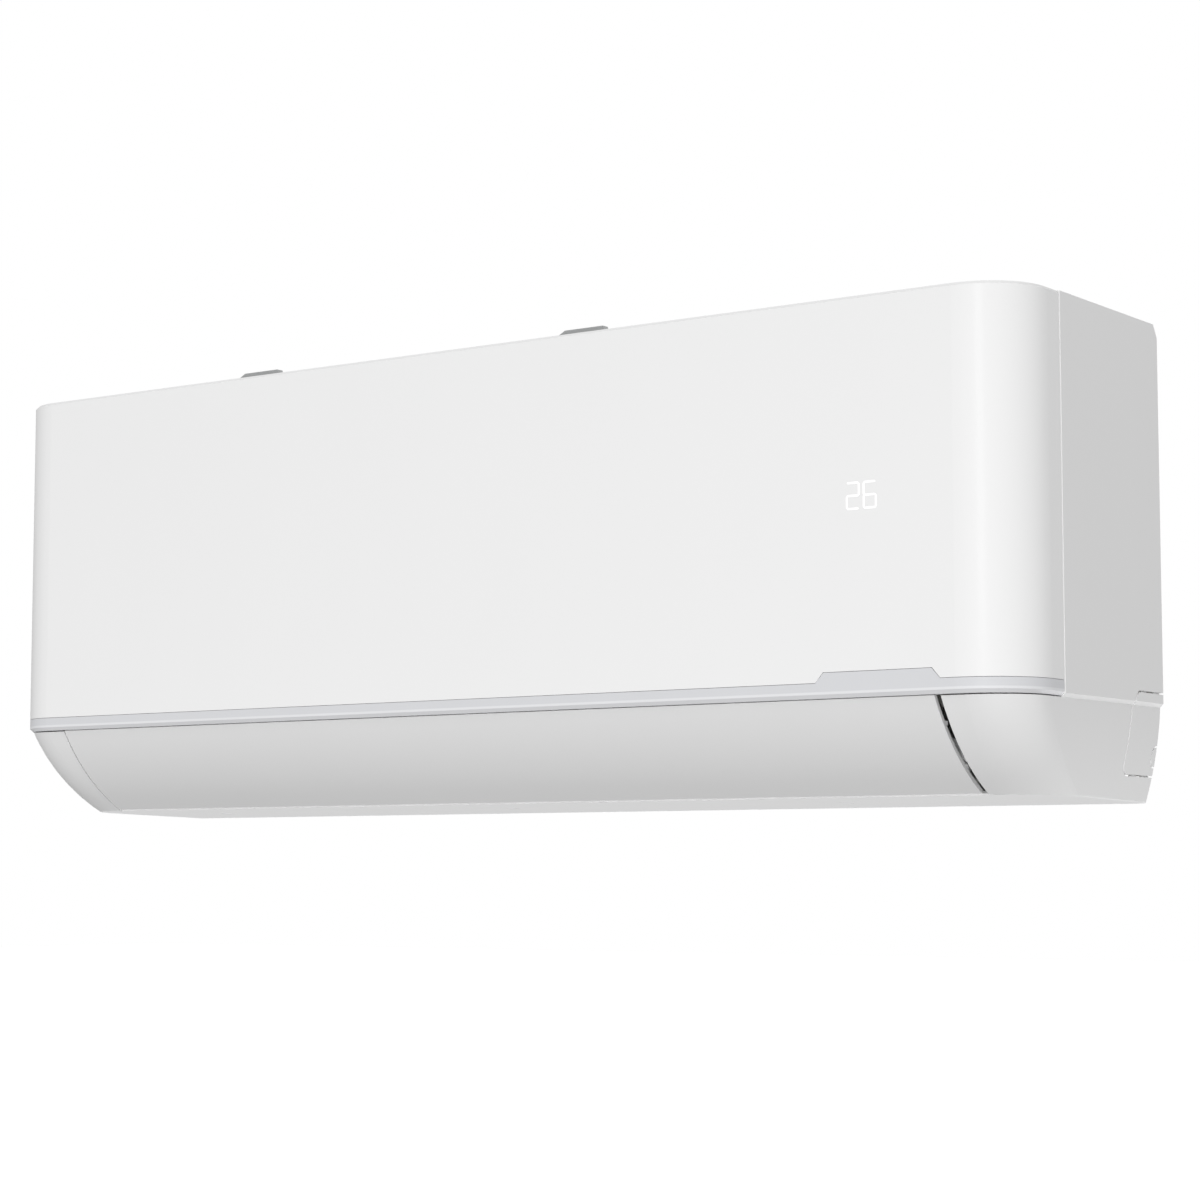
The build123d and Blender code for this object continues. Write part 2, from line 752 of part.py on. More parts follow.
# ---------------------------------------------------------------- flap and filters
def make_flap():
    """Curved flap with an arm and a pin at each end."""
    top = trim_bottom_z - running_gap - shaft_gap
    bottom = lower_edge_z + flap_end_gap * math.sin(math.radians(floor_slope_deg))
    outer = lower_arc(top, bottom, 0)
    inner = lower_arc(bottom, top, flap_skin)
    ends = (Line(outer @ 1, inner @ 0), Line(inner @ 1, outer @ 0))
    outline = [outer.edge(), ends[0].edge(), inner.edge(), ends[1].edge()]
    right_end = flap_half_length - flap_right_short
    flap = along_x(outline, -flap_half_length, right_end)
    for rib_share in flap_rib_shares:
        z = top + (bottom - top) * rib_share
        y = on_lower_arc(z, flap_skin)[0]
        flap += block(-flap_half_length, right_end, y - skin / 2, y + skin, z - skin / 2, z + skin / 2)
    flap -= block(-width, width, front_y - skin, front_y + lower_setback + 3 * flap_skin,
                  top, top + 2 * skin)
    eye_top = about_flap(80, flap_arm_r)
    eye_low = about_flap(-10, flap_arm_r)
    foot_top = on_lower_arc(flap_pivot_z + 2 * flap_arm_r, flap_skin / 2)
    foot_low = on_lower_arc(flap_pivot_z - 2 * flap_arm_r, flap_skin / 2)
    arm_end = right_end - flap_arm_setback
    for x1 in (flap_arm_thickness - arm_end, arm_end):
        x0 = x1 - flap_arm_thickness
        flap += plate_x([eye_top, eye_low, foot_low, foot_top], x0, x1)
        flap += rod_x(flap_pivot_y, flap_pivot_z, flap_arm_r, x0, x1)
    pin_end = flap_half_length + flap_side_gap + cheek_wall + 2 * skin
    for side in (-1, 1):
        ends_x = sorted((side * (arm_end - skin), side * pin_end))
        flap += rod_x(flap_pivot_y, flap_pivot_z, flap_pin_r, ends_x[0], ends_x[1])
    return flap


def filter_middle(side):
    """Middle of one filter along X."""
    return filter_mid_x + side * filter_pitch / 2


def make_filter(side):
    """Filter frame with its handle tab, and the mesh between its bars."""
    middle = filter_middle(side)
    half = filter_pitch / 2 - rail_thickness / 2 - rail_side_gap
    z0 = top_z + filter_lift
    z1 = z0 + filter_thickness
    frame = block(middle - half, middle + half, filter_front_y, filter_rear_y, z0, z1)
    cell_x = (2 * half - 2 * filter_rim + filter_rib) / filter_columns
    cell_y = (filter_rear_y - filter_front_y - 2 * filter_rim + filter_rib) / filter_rows
    windows = []
    for i in range(filter_columns):
        for j in range(filter_rows):
            x = middle - half + filter_rim + i * cell_x
            y = filter_front_y + filter_rim + j * cell_y
            windows.append(block(x, x + cell_x - filter_rib, y, y + cell_y - filter_rib, z0 - 1, z1 + 1))
    frame -= windows
    x0 = middle + tab_offset_x - tab_width / 2
    x1 = x0 + tab_width
    face = Polyline((x0, z0), (x1, z0), (x1 - tab_slopes[1], filter_tab_top_z),
                    (x0 + tab_slopes[0], filter_tab_top_z), close=True)
    frame += Pos(0, filter_front_y - tab_depth, 0) * extrude(
        Plane.XZ * make_face(face), 1.5 * tab_depth, dir=(0, 1, 0))
    mesh_z = z0 + filter_thickness / 2 - mesh_thickness / 2
    meshes = []
    for i in range(filter_columns):
        for j in range(filter_rows):
            x = middle - half + filter_rim + i * cell_x
            y = filter_front_y + filter_rim + j * cell_y
            meshes.append(block(x, x + cell_x - filter_rib, y, y + cell_y - filter_rib,
                                mesh_z, mesh_z + mesh_thickness))
    return frame, Compound(children=meshes)


# ---------------------------------------------------------------- chassis
def floor_direction():
    """Unit vector (y, z) down the outlet floor, towards the room."""
    slope = math.radians(floor_slope_deg)
    return (-math.cos(slope), -math.sin(slope))


def floor_start():
    return about_fan(scroll_exit_deg, scroll_exit_r)


def floor_point(y):
    """Point (y, z) on the outlet floor."""
    start = floor_start()
    return (y, start[1] + (y - start[0]) * math.tan(math.radians(floor_slope_deg)))


def scroll_section():
    """Scroll behind the fan and the outlet floor, one wall thick."""
    top = about_fan(scroll_top_deg, scroll_top_r)
    rear = about_fan(0, scroll_rear_r)
    leave = floor_start()
    end = floor_point(floor_end_y)
    out_top = about_fan(scroll_top_deg, scroll_top_r + scroll_wall)
    out_rear = about_fan(0, scroll_rear_r + scroll_wall)
    out_leave = about_fan(scroll_exit_deg, scroll_exit_r + scroll_wall)
    down = floor_direction()
    out_end = (end[0] - down[1] * scroll_wall, end[1] + down[0] * scroll_wall)
    inner = ThreePointArc(top, rear, leave)
    outer = ThreePointArc(out_leave, out_rear, out_top)
    run = Polyline(leave, end, out_end, out_leave)
    cap = Line(out_top, top)
    return [inner.edge(), *run.edges(), outer.edge(), cap.edge()]


def bulkhead(x0, hole_r):
    """Upright wall beside the fan, coil and pan."""
    face_y = chassis_rear_y - chassis_wall
    upper_notch = about_flap(70, flap_sweep_r)
    lower_notch = about_flap(20, flap_sweep_r)
    under_floor = floor_point(bulkhead_foot_y[0])[1] - 2 * scroll_wall
    points = [(face_y, chassis_wall_bottom_z), (face_y, bulkhead_top_z),
              (rear_coil_head[0] + coil_thickness, bulkhead_top_z), (bulkhead_front_y, bulkhead_shoulder_z),
              (bulkhead_front_y, bulkhead_chin_z), (bulkhead_chin_y, bulkhead_chin_z),
              upper_notch, lower_notch, (lower_notch[0], floor_point(lower_notch[0])[1]),
              (bulkhead_foot_y[0], under_floor), (bulkhead_foot_y[1], under_floor)]
    wall = plate_x(points, x0, x0 + bulkhead_thickness)
    return wall - rod_x(fan_y, fan_z, hole_r, x0 - skin, x0 + 2 * bulkhead_thickness)


def motor_saddles():
    """Two upright cradles that hold the motor from behind."""
    saddles = []
    last = motor_left_x + motor_length - saddle_thickness
    for x0 in (motor_left_x, last):
        body = block(x0, x0 + saddle_thickness, fan_y, chassis_rear_y - chassis_wall,
                     fan_z - motor_r - strap_flange, fan_z + motor_r + strap_flange)
        saddles.append(body - rod_x(fan_y, fan_z, motor_r + running_gap, x0 - 1, x0 + saddle_thickness + 1))
    return saddles


def vane_places():
    """X of every vane, left gang first."""
    count = 2 * vane_count_per_gang
    return [vane_mid_x + (i - (count - 1) / 2) * vane_pitch for i in range(count)]


def vane_plane(x):
    """Frame on the outlet floor: local X along the unit, local Z up from the floor."""
    base = floor_point(vane_base_y)
    down = floor_direction()
    return Plane(origin=(x, base[0], base[1]), x_dir=(1, 0, 0), z_dir=(0, down[1], -down[0]))


def coil_rest(foot, head, x0, x1):
    """Moulded stop between a bulkhead and the foot of a slab's end plate."""
    plane = slab_frame(foot, head)[1]
    return plane * Pos((x0 + x1) / 2, rest_height / 2, 0) * Box(x1 - x0, rest_height, coil_thickness)


def make_chassis():
    """Rear wall, scroll, bulkheads, saddles, screw pillars and vane sockets."""
    right = bulkhead_right_x
    left_inner = bulkhead_left_x + bulkhead_thickness
    face_y = chassis_rear_y - chassis_wall
    body = block(-chassis_half_x, chassis_half_x, face_y, chassis_rear_y,
                 chassis_wall_bottom_z, chassis_top_z)
    scroll = along_x(scroll_section(), left_inner, right)
    body += scroll
    rear_of_scroll = fan_y + scroll_rear_r + scroll_wall / 2
    body += block(left_inner, right, rear_of_scroll, face_y, chassis_wall_bottom_z,
                  chassis_wall_bottom_z + chassis_wall)
    body += bulkhead(bulkhead_left_x, bearing_mount_r)
    body += bulkhead(right, hub_r + 2 * skin)
    for name in ("top", "rear"):
        foot, head = coil_slabs()[name]
        body += coil_rest(foot, head, left_inner, coil_left_x - end_plate)
        body += coil_rest(foot, head, coil_end_x() + end_plate, right)
    for saddle in motor_saddles():
        body += saddle
    body += block(right, motor_left_x + motor_length, saddle_web_y, face_y, fan_z - saddle_thickness / 2,
                  fan_z + saddle_thickness / 2)
    for x in pillar_x:
        top = floor_point(pillar_y)[1] - scroll_wall / 2
        body += rod_z(x, pillar_y, pillar_r, pillar_bottom_z, top)
        body -= rod_z(x, pillar_y, screw_r + shaft_gap, pillar_bottom_z - skin,
                      pillar_bottom_z + screw_length)
    for x in vane_places():
        body -= vane_plane(x) * Cylinder(vane_pin_r + shaft_gap, 3 * scroll_wall)
    for side in (-1, 1):
        x = side * hook_x
        half = hook_width / 2 + 2 * hook_gap
        body -= block(x - half, x + half, face_y - 1, chassis_rear_y + 1, hook_z - hook_lip - hook_gap,
                      hook_z + plate_thickness)
    body -= rod_x(spigot_y, spigot_z, spigot_collar_r + running_gap, bulkhead_left_x - 1, left_inner + 1)
    body -= rod_x(pipe_channel_y, gas_channel_z, gas_pipe_r + running_gap,
                  bulkhead_left_x - 1, left_inner + 1)
    body -= rod_x(pipe_channel_y, liquid_channel_z, liquid_pipe_r + running_gap,
                  bulkhead_left_x - 1, left_inner + 1)
    for y, z, r in (gas_coil_exit() + (gas_pipe_r,), liquid_coil_exit() + (liquid_pipe_r,)):
        body -= rod_x(y, z, r + running_gap, bulkhead_left_x - 1, left_inner + 1)
    return body


# ---------------------------------------------------------------- fan

def blade_outline(angle_deg):
    """One curved blade between the inner and outer radius, drawn about the axis."""
    start = math.radians(angle_deg)
    end = math.radians(angle_deg + blade_sweep_deg)
    turn = math.radians(angle_deg + blade_sweep_deg / 2)
    middle_r = (fan_r + fan_inner_r) / 2
    half = blade_thickness / 2
    points = []
    for side in (-1, 1):
        shift = side * half
        normal = (-math.sin(turn), math.cos(turn))
        inner = (fan_inner_r * math.cos(start) + shift * normal[0],
                 fan_inner_r * math.sin(start) + shift * normal[1])
        outer = ((fan_r - half) * math.cos(end) + shift * normal[0],
                 (fan_r - half) * math.sin(end) + shift * normal[1])
        middle = (middle_r * math.cos(turn) + (shift - blade_bulge) * normal[0],
                  middle_r * math.sin(turn) + (shift - blade_bulge) * normal[1])
        points.append((inner, middle, outer))
    near = ThreePointArc(*points[0])
    far = ThreePointArc(*reversed(points[1]))
    return make_face(Wire([near.edge(), Line(near @ 1, far @ 0).edge(), far.edge(),
                           Line(far @ 1, near @ 0).edge()]))


def make_fan_wheel():
    """Cross-flow wheel: blades between discs, with a hub at the motor end."""
    length = fan_right_x - fan_left_x
    blades = [extrude(blade_outline(i * 360 / fan_blades), length) for i in range(fan_blades)]
    discs = []
    for i in range(fan_sections + 1):
        z = i * (length - fan_disc) / fan_sections
        discs.append(Pos(0, 0, z + fan_disc / 2) * Cylinder(fan_r, fan_disc))
    wheel = discs[0].fuse(*discs[1:], *blades)
    axis = Plane(origin=(fan_left_x, fan_y, fan_z), x_dir=(0, 1, 0), z_dir=(1, 0, 0))
    wheel = axis * wheel
    wheel += rod_x(fan_y, fan_z, hub_r, fan_right_x - fan_disc, fan_right_x + hub_length)
    wheel += rod_x(fan_y, fan_z, hub_r, fan_left_x, fan_left_x + hub_length)
    wheel -= rod_x(fan_y, fan_z, shaft_r, fan_right_x - skin, fan_right_x + hub_length + 1)
    wheel -= rod_x(fan_y, fan_z, shaft_r, fan_left_x - 1, fan_left_x + hub_length - skin)
    screw_x = fan_right_x + hub_length / 2
    wheel -= rod_z(screw_x, fan_y, screw_r + shaft_gap, fan_z + shaft_r, fan_z + hub_r + 1)
    return wheel


def make_hub_screw():
    screw_x = fan_right_x + hub_length / 2
    return rod_z(screw_x, fan_y, screw_r, fan_z + shaft_r, fan_z + hub_r)


def make_stub_shaft():
    return rod_x(fan_y, fan_z, shaft_r, fan_left_x - stub_length, fan_left_x + hub_length - skin)


def make_motor_shaft():
    return rod_x(fan_y, fan_z, shaft_r, fan_right_x - skin, motor_left_x + motor_length + 2 * skin)


def make_motor():
    """Motor can with a bearing boss at each end, bored for the shaft."""
    right = motor_left_x + motor_length
    can = rod_x(fan_y, fan_z, motor_r, motor_left_x, right)
    can = fillet(can.edges(), motor_rim_r)
    can += rod_x(fan_y, fan_z, motor_boss_r, motor_left_x - motor_boss_length, right + motor_boss_length)
    return can - rod_x(fan_y, fan_z, shaft_r + shaft_gap, motor_left_x - 2 * motor_boss_length,
                       right + 2 * motor_boss_length)


def make_motor_clamp():
    """Half-round strap over the motor, screwed to the saddles."""
    x0 = motor_left_x
    x1 = motor_left_x + motor_length
    inner_r = motor_r + running_gap
    ring = rod_x(fan_y, fan_z, inner_r + strap_thickness, x0, x1)
    ring -= rod_x(fan_y, fan_z, inner_r, x0 - 1, x1 + 1)
    half = block(x0, x1, fan_y - 2 * motor_r, fan_y, fan_z - 2 * motor_r, fan_z + 2 * motor_r)
    strap = ring & half
    window = (motor_length - 2 * strap_width) / 2
    mid = (x0 + x1) / 2
    for side in (-1, 1):
        z0, z1 = sorted((fan_z + side * (inner_r + strap_thickness / 2),
                         fan_z + side * (motor_r + strap_flange)))
        strap += block(x0, x1, fan_y - strap_thickness, fan_y, z0, z1)
    return strap - block(mid - window, mid + window, fan_y - 2 * motor_r, fan_y - motor_r / 2,
                         fan_z - motor_r / 2, fan_z + motor_r / 2)


def make_bearing():
    ring = rod_x(fan_y, fan_z, bearing_r, bulkhead_left_x, bulkhead_left_x + bulkhead_thickness + 2)
    return ring - rod_x(fan_y, fan_z, shaft_r + shaft_gap, bulkhead_left_x - 1, fan_left_x)


def make_bearing_mount():
    """Rubber ring between the bearing and the left bulkhead, with a flange."""
    x1 = bulkhead_left_x + bulkhead_thickness
    ring = rod_x(fan_y, fan_z, bearing_mount_r, bulkhead_left_x, x1)
    ring += rod_x(fan_y, fan_z, bearing_mount_r + skin, x1, x1 + 2)
    return ring - rod_x(fan_y, fan_z, bearing_r, bulkhead_left_x - 1, x1 + 3)


# ---------------------------------------------------------------- swing vanes
def make_vane(x):
    """One swing vane: blade, foot pin and the pin for the link bar."""
    outline = Polyline((-vane_down, vane_foot_gap), (vane_up, vane_foot_gap),
                       (vane_up, vane_height * vane_nose_high), (vane_up * vane_nose_long, vane_height),
                       (-vane_down, vane_height), close=True)
    blade = extrude(Plane.YZ * make_face(outline), vane_thickness / 2, both=True)
    blade = fillet(blade.edges().filter_by(Axis.X), vane_corner_r)
    boss = Pos(0, 0, vane_height / 3) * Cylinder(vane_boss_r, vane_height * 2 / 3 - 2 * vane_foot_gap)
    foot = Pos(0, 0, vane_foot_gap - vane_pin_length / 2) * Cylinder(
        vane_pin_r, vane_pin_length + 2 * vane_foot_gap)
    pin = Pos(0, -vane_link_arm, vane_height + vane_top_pin_length / 2 - vane_foot_gap) * Cylinder(
        vane_top_pin_r, vane_top_pin_length + 2 * vane_foot_gap)
    return vane_plane(x) * (blade + boss + foot + pin)


def make_link(places):
    """Flat bar over the top pins of one gang, with a finger tab."""
    first = places[0]
    span = places[-1] - first
    z0 = vane_height + link_lift
    bar = Pos(span / 2, -vane_link_arm, z0 + link_thickness / 2) * Box(span, link_width, link_thickness)
    for x in places:
        bar += Pos(x - first, -vane_link_arm, z0 + link_thickness / 2) * Cylinder(
            link_width / 2, link_thickness)
    middle = span / 2 + vane_pitch / 2
    bar += Pos(middle, -vane_link_arm, z0 + link_tab_height / 2) * Box(
        2 * link_width, link_thickness, link_tab_height)
    for x in places:
        bar -= Pos(x - first, -vane_link_arm, z0) * Cylinder(vane_top_pin_r + shaft_gap, 4 * link_thickness)
    return vane_plane(first) * bar


# ---------------------------------------------------------------- evaporator
def slab_frame(foot, head):
    """Length of a coil slab and the plane whose local Y runs from foot to head."""
    run = (head[0] - foot[0], head[1] - foot[1])
    length = math.hypot(run[0], run[1])
    along = (0, run[0] / length, run[1] / length)
    normal = Vector(1, 0, 0).cross(Vector(*along))
    return length, Plane(origin=(0, foot[0], foot[1]), x_dir=(1, 0, 0), z_dir=normal)


def slab_tube_places(length):
    """Distances along a slab at which its tubes run."""
    count = int((length - tube_end_room) // tube_pitch)
    start = (length - (count - 1) * tube_pitch) / 2
    return [start + i * tube_pitch for i in range(count)]


def tube_row(index):
    """Tubes stand alternately towards the front and the back of a slab."""
    return tube_row_offset if index % 2 else -tube_row_offset


def fin_count():
    return int((coil_right_x - coil_left_x) // fin_pitch)


def coil_end_x():
    """Right end of the fin stacks, a whole number of fins from the left."""
    return coil_left_x + fin_count() * fin_pitch


def fin_comb(length):
    """Stack of fins, as a block whose edges stand out in a comb along X."""
    count = fin_count()
    half = coil_thickness / 2
    points = []
    for i in range(count):
        x = coil_left_x + i * fin_pitch
        points += [(x, half), (x + fin_width, half), (x + fin_width, half - fin_depth),
                   (x + fin_pitch, half - fin_depth)]
    points.append((coil_left_x + count * fin_pitch, half))
    back = [(x, -thick) for x, thick in reversed(points)]
    outline = Polyline(*points, *back, close=True)
    return Rot(90, 0, 0) * Pos(0, 0, -length) * extrude(make_face(outline), length)


def slab_tubes(length):
    """Serpentine of straight tubes and return bends through one slab."""
    places = slab_tube_places(length)
    x0 = coil_left_x - end_plate
    x1 = coil_end_x() + end_plate
    coil = None
    for i, place in enumerate(places):
        straight = Pos((x0 + x1) / 2, place, tube_row(i)) * Rot(0, 90, 0) * Cylinder(tube_r, x1 - x0)
        coil = straight if coil is None else coil + straight
    for i in range(len(places) - 1):
        a = Vector(0, places[i], tube_row(i))
        b = Vector(0, places[i + 1], tube_row(i + 1))
        gap = b - a
        side = -1 if i % 2 else 1
        x = x1 if side > 0 else x0
        arc_plane = Plane(origin=Vector(x, 0, 0) + (a + b) * 0.5, x_dir=(side, 0, 0),
                          z_dir=Vector(side, 0, 0).cross(gap))
        bend = CenterArc((0, 0), gap.length / 2, -90, 180)
        path = arc_plane * bend
        ring = Plane(origin=path @ 0, z_dir=path % 0) * Circle(tube_r)
        coil += sweep(ring, path)
    return coil


def make_slab(foot, head):
    """Fin stack, end plates and tubes of one coil slab."""
    length, plane = slab_frame(foot, head)
    fins = fin_comb(length)
    plates = []
    for x0 in (coil_left_x - end_plate, coil_end_x()):
        plates.append(Pos(x0 + end_plate / 2, length / 2, 0) * Box(end_plate, length, coil_thickness))
    for i, place in enumerate(slab_tube_places(length)):
        bore = Pos(0, place, tube_row(i)) * Rot(0, 90, 0) * Cylinder(tube_r + tube_gap, 2 * width)
        fins -= bore
        plates = [plate - bore for plate in plates]
    return plane * fins, [plane * plate for plate in plates], plane * slab_tubes(length)


def coil_slabs():
    """Foot and head (y, z) of the three slabs."""
    return {"front": ((front_coil_y, front_coil_bottom_z), (front_coil_y, front_coil_top_z)),
            "top": (top_coil_foot, top_coil_head),
            "rear": (rear_coil_foot, rear_coil_head)}


def slab_point(name, index):
    """Place (y, z) of one tube of a slab."""
    foot, head = coil_slabs()[name]
    length, plane = slab_frame(foot, head)
    place = slab_tube_places(length)[index]
    point = plane.from_local_coords((0, place, tube_row(index)))
    return (point.Y, point.Z)


def gas_coil_exit():
    return slab_point("front", -1)


def liquid_coil_exit():
    return slab_point("front", 0)


def make_drain_pan():
    """Trough under the front slab, whose nose closes the outlet from above."""
    trough = [(pan_inner_y, pan_floor_z), *pan_step, (pan_rear_y, pan_rear_top_z),
              (pan_inner_y, pan_rear_top_z)]
    outline = [*pan_nose, (pan_front_y, pan_lip_z), (pan_front_y, pan_top_z), (pan_inner_y, pan_top_z),
               *trough[:4]]
    pan = plate_x(outline, pan_left_x, pan_right_x)
    pan += plate_x(trough, pan_left_x, pan_left_x + pan_wall)
    pan += plate_x(trough, pan_right_x - pan_wall, pan_right_x)
    collar_x = pan_left_x - spigot_collar_length
    tip_x = collar_x - spigot_length
    tube = rod_x(spigot_y, spigot_z, spigot_collar_r, collar_x, pan_left_x + pan_wall)
    tube += rod_x(spigot_y, spigot_z, spigot_r, tip_x, collar_x)
    bore = rod_x(spigot_y, spigot_z, spigot_bore_r, tip_x - 1, pan_left_x + pan_wall + 1)
    return pan + tube - bore


# ---------------------------------------------------------------- pipes
def pipe_route(exit_point, channel_z, turn_x):
    """Corners of a pipe from the coil, round the left end, into the rear channel."""
    start_x = coil_left_x - end_plate
    return [(start_x, exit_point[0], exit_point[1]), (turn_x, exit_point[0], exit_point[1]),
            (turn_x, pipe_channel_y, channel_z), (pipe_end_x, pipe_channel_y, channel_z)]


def make_pipe(corners, r):
    path = FilletPolyline(*corners, radius=pipe_bend_r)
    return sweep(Plane(origin=path @ 0, z_dir=path % 0) * Circle(r), path)


def make_fitting(z, pipe_r, across_flats, stud_r):
    """Brass flare fitting: a hexagon with a threaded stud, bored through."""
    hexagon = Plane(origin=(pipe_end_x, pipe_channel_y, z), x_dir=(0, 1, 0), z_dir=(1, 0, 0))
    body = hexagon * extrude(RegularPolygon(across_flats / 2, 6, major_radius=False), nut_length)
    body += rod_x(pipe_channel_y, z, stud_r, pipe_end_x + nut_length, pipe_end_x + nut_length + stud_length)
    return body - rod_x(pipe_channel_y, z, pipe_r - pipe_wall, pipe_end_x - 1,
                        pipe_end_x + nut_length + stud_length + 1)


def make_pipe_clamp():
    """Plastic clip behind the scroll that holds both pipes."""
    x0, x1 = clamp_x
    low, high = clamp_margin
    body = block(x0, x1, pipe_channel_y - high, pipe_channel_y + high,
                 liquid_channel_z - low, gas_channel_z + high)
    body -= rod_x(pipe_channel_y, gas_channel_z, gas_pipe_r + clamp_clearance, x0 - 1, x1 + 1)
    return body - rod_x(pipe_channel_y, liquid_channel_z, liquid_pipe_r + clamp_clearance, x0 - 1, x1 + 1)


# ---------------------------------------------------------------- electrical parts
def make_electrical_box():
    """Open-fronted box beside the motor, standing on the rear chassis."""
    rear_y = chassis_rear_y - chassis_wall
    outer = block(box_left_x, box_right_x, box_front_y, rear_y, box_bottom_z, box_top_z)
    inner = block(box_left_x + box_wall, box_right_x - box_wall, box_front_y - 1, rear_y - box_wall,
                  box_bottom_z + box_wall, box_top_z - box_wall)
    box = outer - inner
    post_x = box_left_x + box_wall
    for y in box_post_y:
        for z in box_post_z:
            box += rod_x(y, z, box_post_r, post_x - box_wall / 2, post_x + box_post_height)
    return box


def make_electrical_cover():
    return block(box_left_x, box_right_x, box_front_y - box_wall, box_front_y, box_bottom_z, box_top_z)


def control_board_x():
    return box_left_x + box_wall + box_post_height


def make_control_board():
    x0 = control_board_x()
    return block(x0, x0 + board_thickness, *control_board_y, *control_board_z)


def make_terminal_block():
    """Screw terminals for the supply and outdoor-unit wires."""
    x0 = control_board_x() + board_thickness
    low_z = terminal_z - terminal_pitch * terminal_count / 2
    body = block(x0, x0 + terminal_depth, *terminal_y, low_z, low_z + terminal_pitch * terminal_count)
    for i in range(terminal_count):
        z = low_z + terminal_pitch * (i + 0.5)
        body -= rod_y(x0 + terminal_depth / 2, z, terminal_hole_r, terminal_y[0] - 1,
                      terminal_y[0] + terminal_hole_depth)
    return body


def make_capacitor():
    x0 = control_board_x() + board_thickness
    can = rod_x(capacitor_y, capacitor_z, capacitor_r, x0, x0 + capacitor_length)
    return fillet(can.edges().sort_by(Axis.X)[-1], capacitor_rim_r)


def make_transformer():
    """Laminated core with a wound bobbin."""
    x0 = control_board_x() + board_thickness
    x1 = x0 + core_width
    y0, y1 = core_y
    z0, z1 = core_z
    inside_x = (x0 + core_leg, x1 - core_leg)
    inside_z = (z0 + 2 * core_leg, z1 - 2 * core_leg)
    core = block(x0, x1, y0, y1, z0, z1) - block(*inside_x, y0 - 1, y1 + 1, *inside_z)
    return core + block(*inside_x, y0 - core_leg, y1 + core_leg, *inside_z)


def make_display_board():
    return block(display_left_x, display_right_x, inner_front_y - board_thickness, inner_front_y,
                 display_bottom_z, display_top_z)


def make_digit_module():
    face = inner_front_y - board_thickness
    return block(digits_mid_x - digits_width / 2, digits_mid_x + digits_width / 2,
                 face - digits_depth, face,
                 digits_mid_z - digits_height / 2, digits_mid_z + digits_height / 2)


def make_receiver():
    """Infrared receiver behind the trim's tab."""
    face = inner_front_y - board_thickness
    half = receiver_size / 2
    body = block(receiver_x - half, receiver_x + half, face - half, face,
                 receiver_z - half, receiver_z + half)
    return body + rod_y(receiver_x, receiver_z, receiver_lens_r, face - receiver_size, face - half / 2)


def make_button():
    """Cap through the casing's front wall, with a flange inside and a stem."""
    wall_rear = inner_front_y + skin
    flange_y = (wall_rear + running_gap, wall_rear + running_gap + button_flange_thickness)
    cap = rod_y(button_x, button_z, button_r, inner_front_y - button_stands_out, flange_y[1])
    cap = fillet(cap.edges().sort_by(Axis.Y)[0], button_rim_r)
    flange = rod_y(button_x, button_z, button_flange_r, *flange_y)
    stem_end = box_front_y - box_wall - board_thickness - switch_height - button_travel - switch_gap
    stem = rod_y(button_x, button_z, button_stem_r, flange_y[0] + button_flange_thickness / 2, stem_end)
    return cap + flange + stem


def make_button_switch():
    rear = box_front_y - box_wall
    board = block(button_x - switch_board_half, button_x + switch_board_half, rear - board_thickness, rear,
                  button_z - switch_board_half, button_z + switch_board_half)
    return board + block(button_x - switch_half, button_x + switch_half,
                         rear - board_thickness - switch_height, rear - board_thickness / 2,
                         button_z - switch_half, button_z + switch_half)


def make_flap_motor():
    """Small stepper beyond the right cheek wall, its can set off from the flap's axis."""
    x0 = flap_half_length + flap_side_gap + cheek_wall
    offset = flap_motor_offset * math.sqrt(0.5)
    y = flap_pivot_y + offset
    z = flap_pivot_z + offset
    can = rod_x(y, z, flap_motor_r, x0, x0 + flap_motor_length)
    can += block(x0, x0 + flap_motor_ear, y - flap_motor_reach, y + flap_motor_reach,
                 z - flap_motor_reach / 4, z + flap_motor_reach / 4)
    return can - rod_x(flap_pivot_y, flap_pivot_z, flap_pin_r + flap_pin_gap, x0 - 1, x0 + 2 * skin + 1)


def make_flap_bush():
    """Plain bush on the left cheek wall for the flap's pin."""
    x1 = -(flap_half_length + flap_side_gap + cheek_wall)
    bush = rod_x(flap_pivot_y, flap_pivot_z, flap_bush_r, x1 - flap_bush_length, x1)
    return bush - rod_x(flap_pivot_y, flap_pivot_z, flap_pin_r + flap_pin_gap,
                        x1 - flap_bush_length - 1, x1 + 1)


def make_room_sensor():
    """Small bulb in a clip on the front of the right bulkhead."""
    x0 = bulkhead_right_x + bulkhead_thickness
    bulb = rod_z(x0 + sensor_off, sensor_y, sensor_r, *sensor_z)
    return bulb + block(x0, x0 + sensor_off, sensor_y - sensor_clip / 2, sensor_y + sensor_clip / 2,
                        sensor_clip_z, sensor_clip_z + sensor_clip_height)


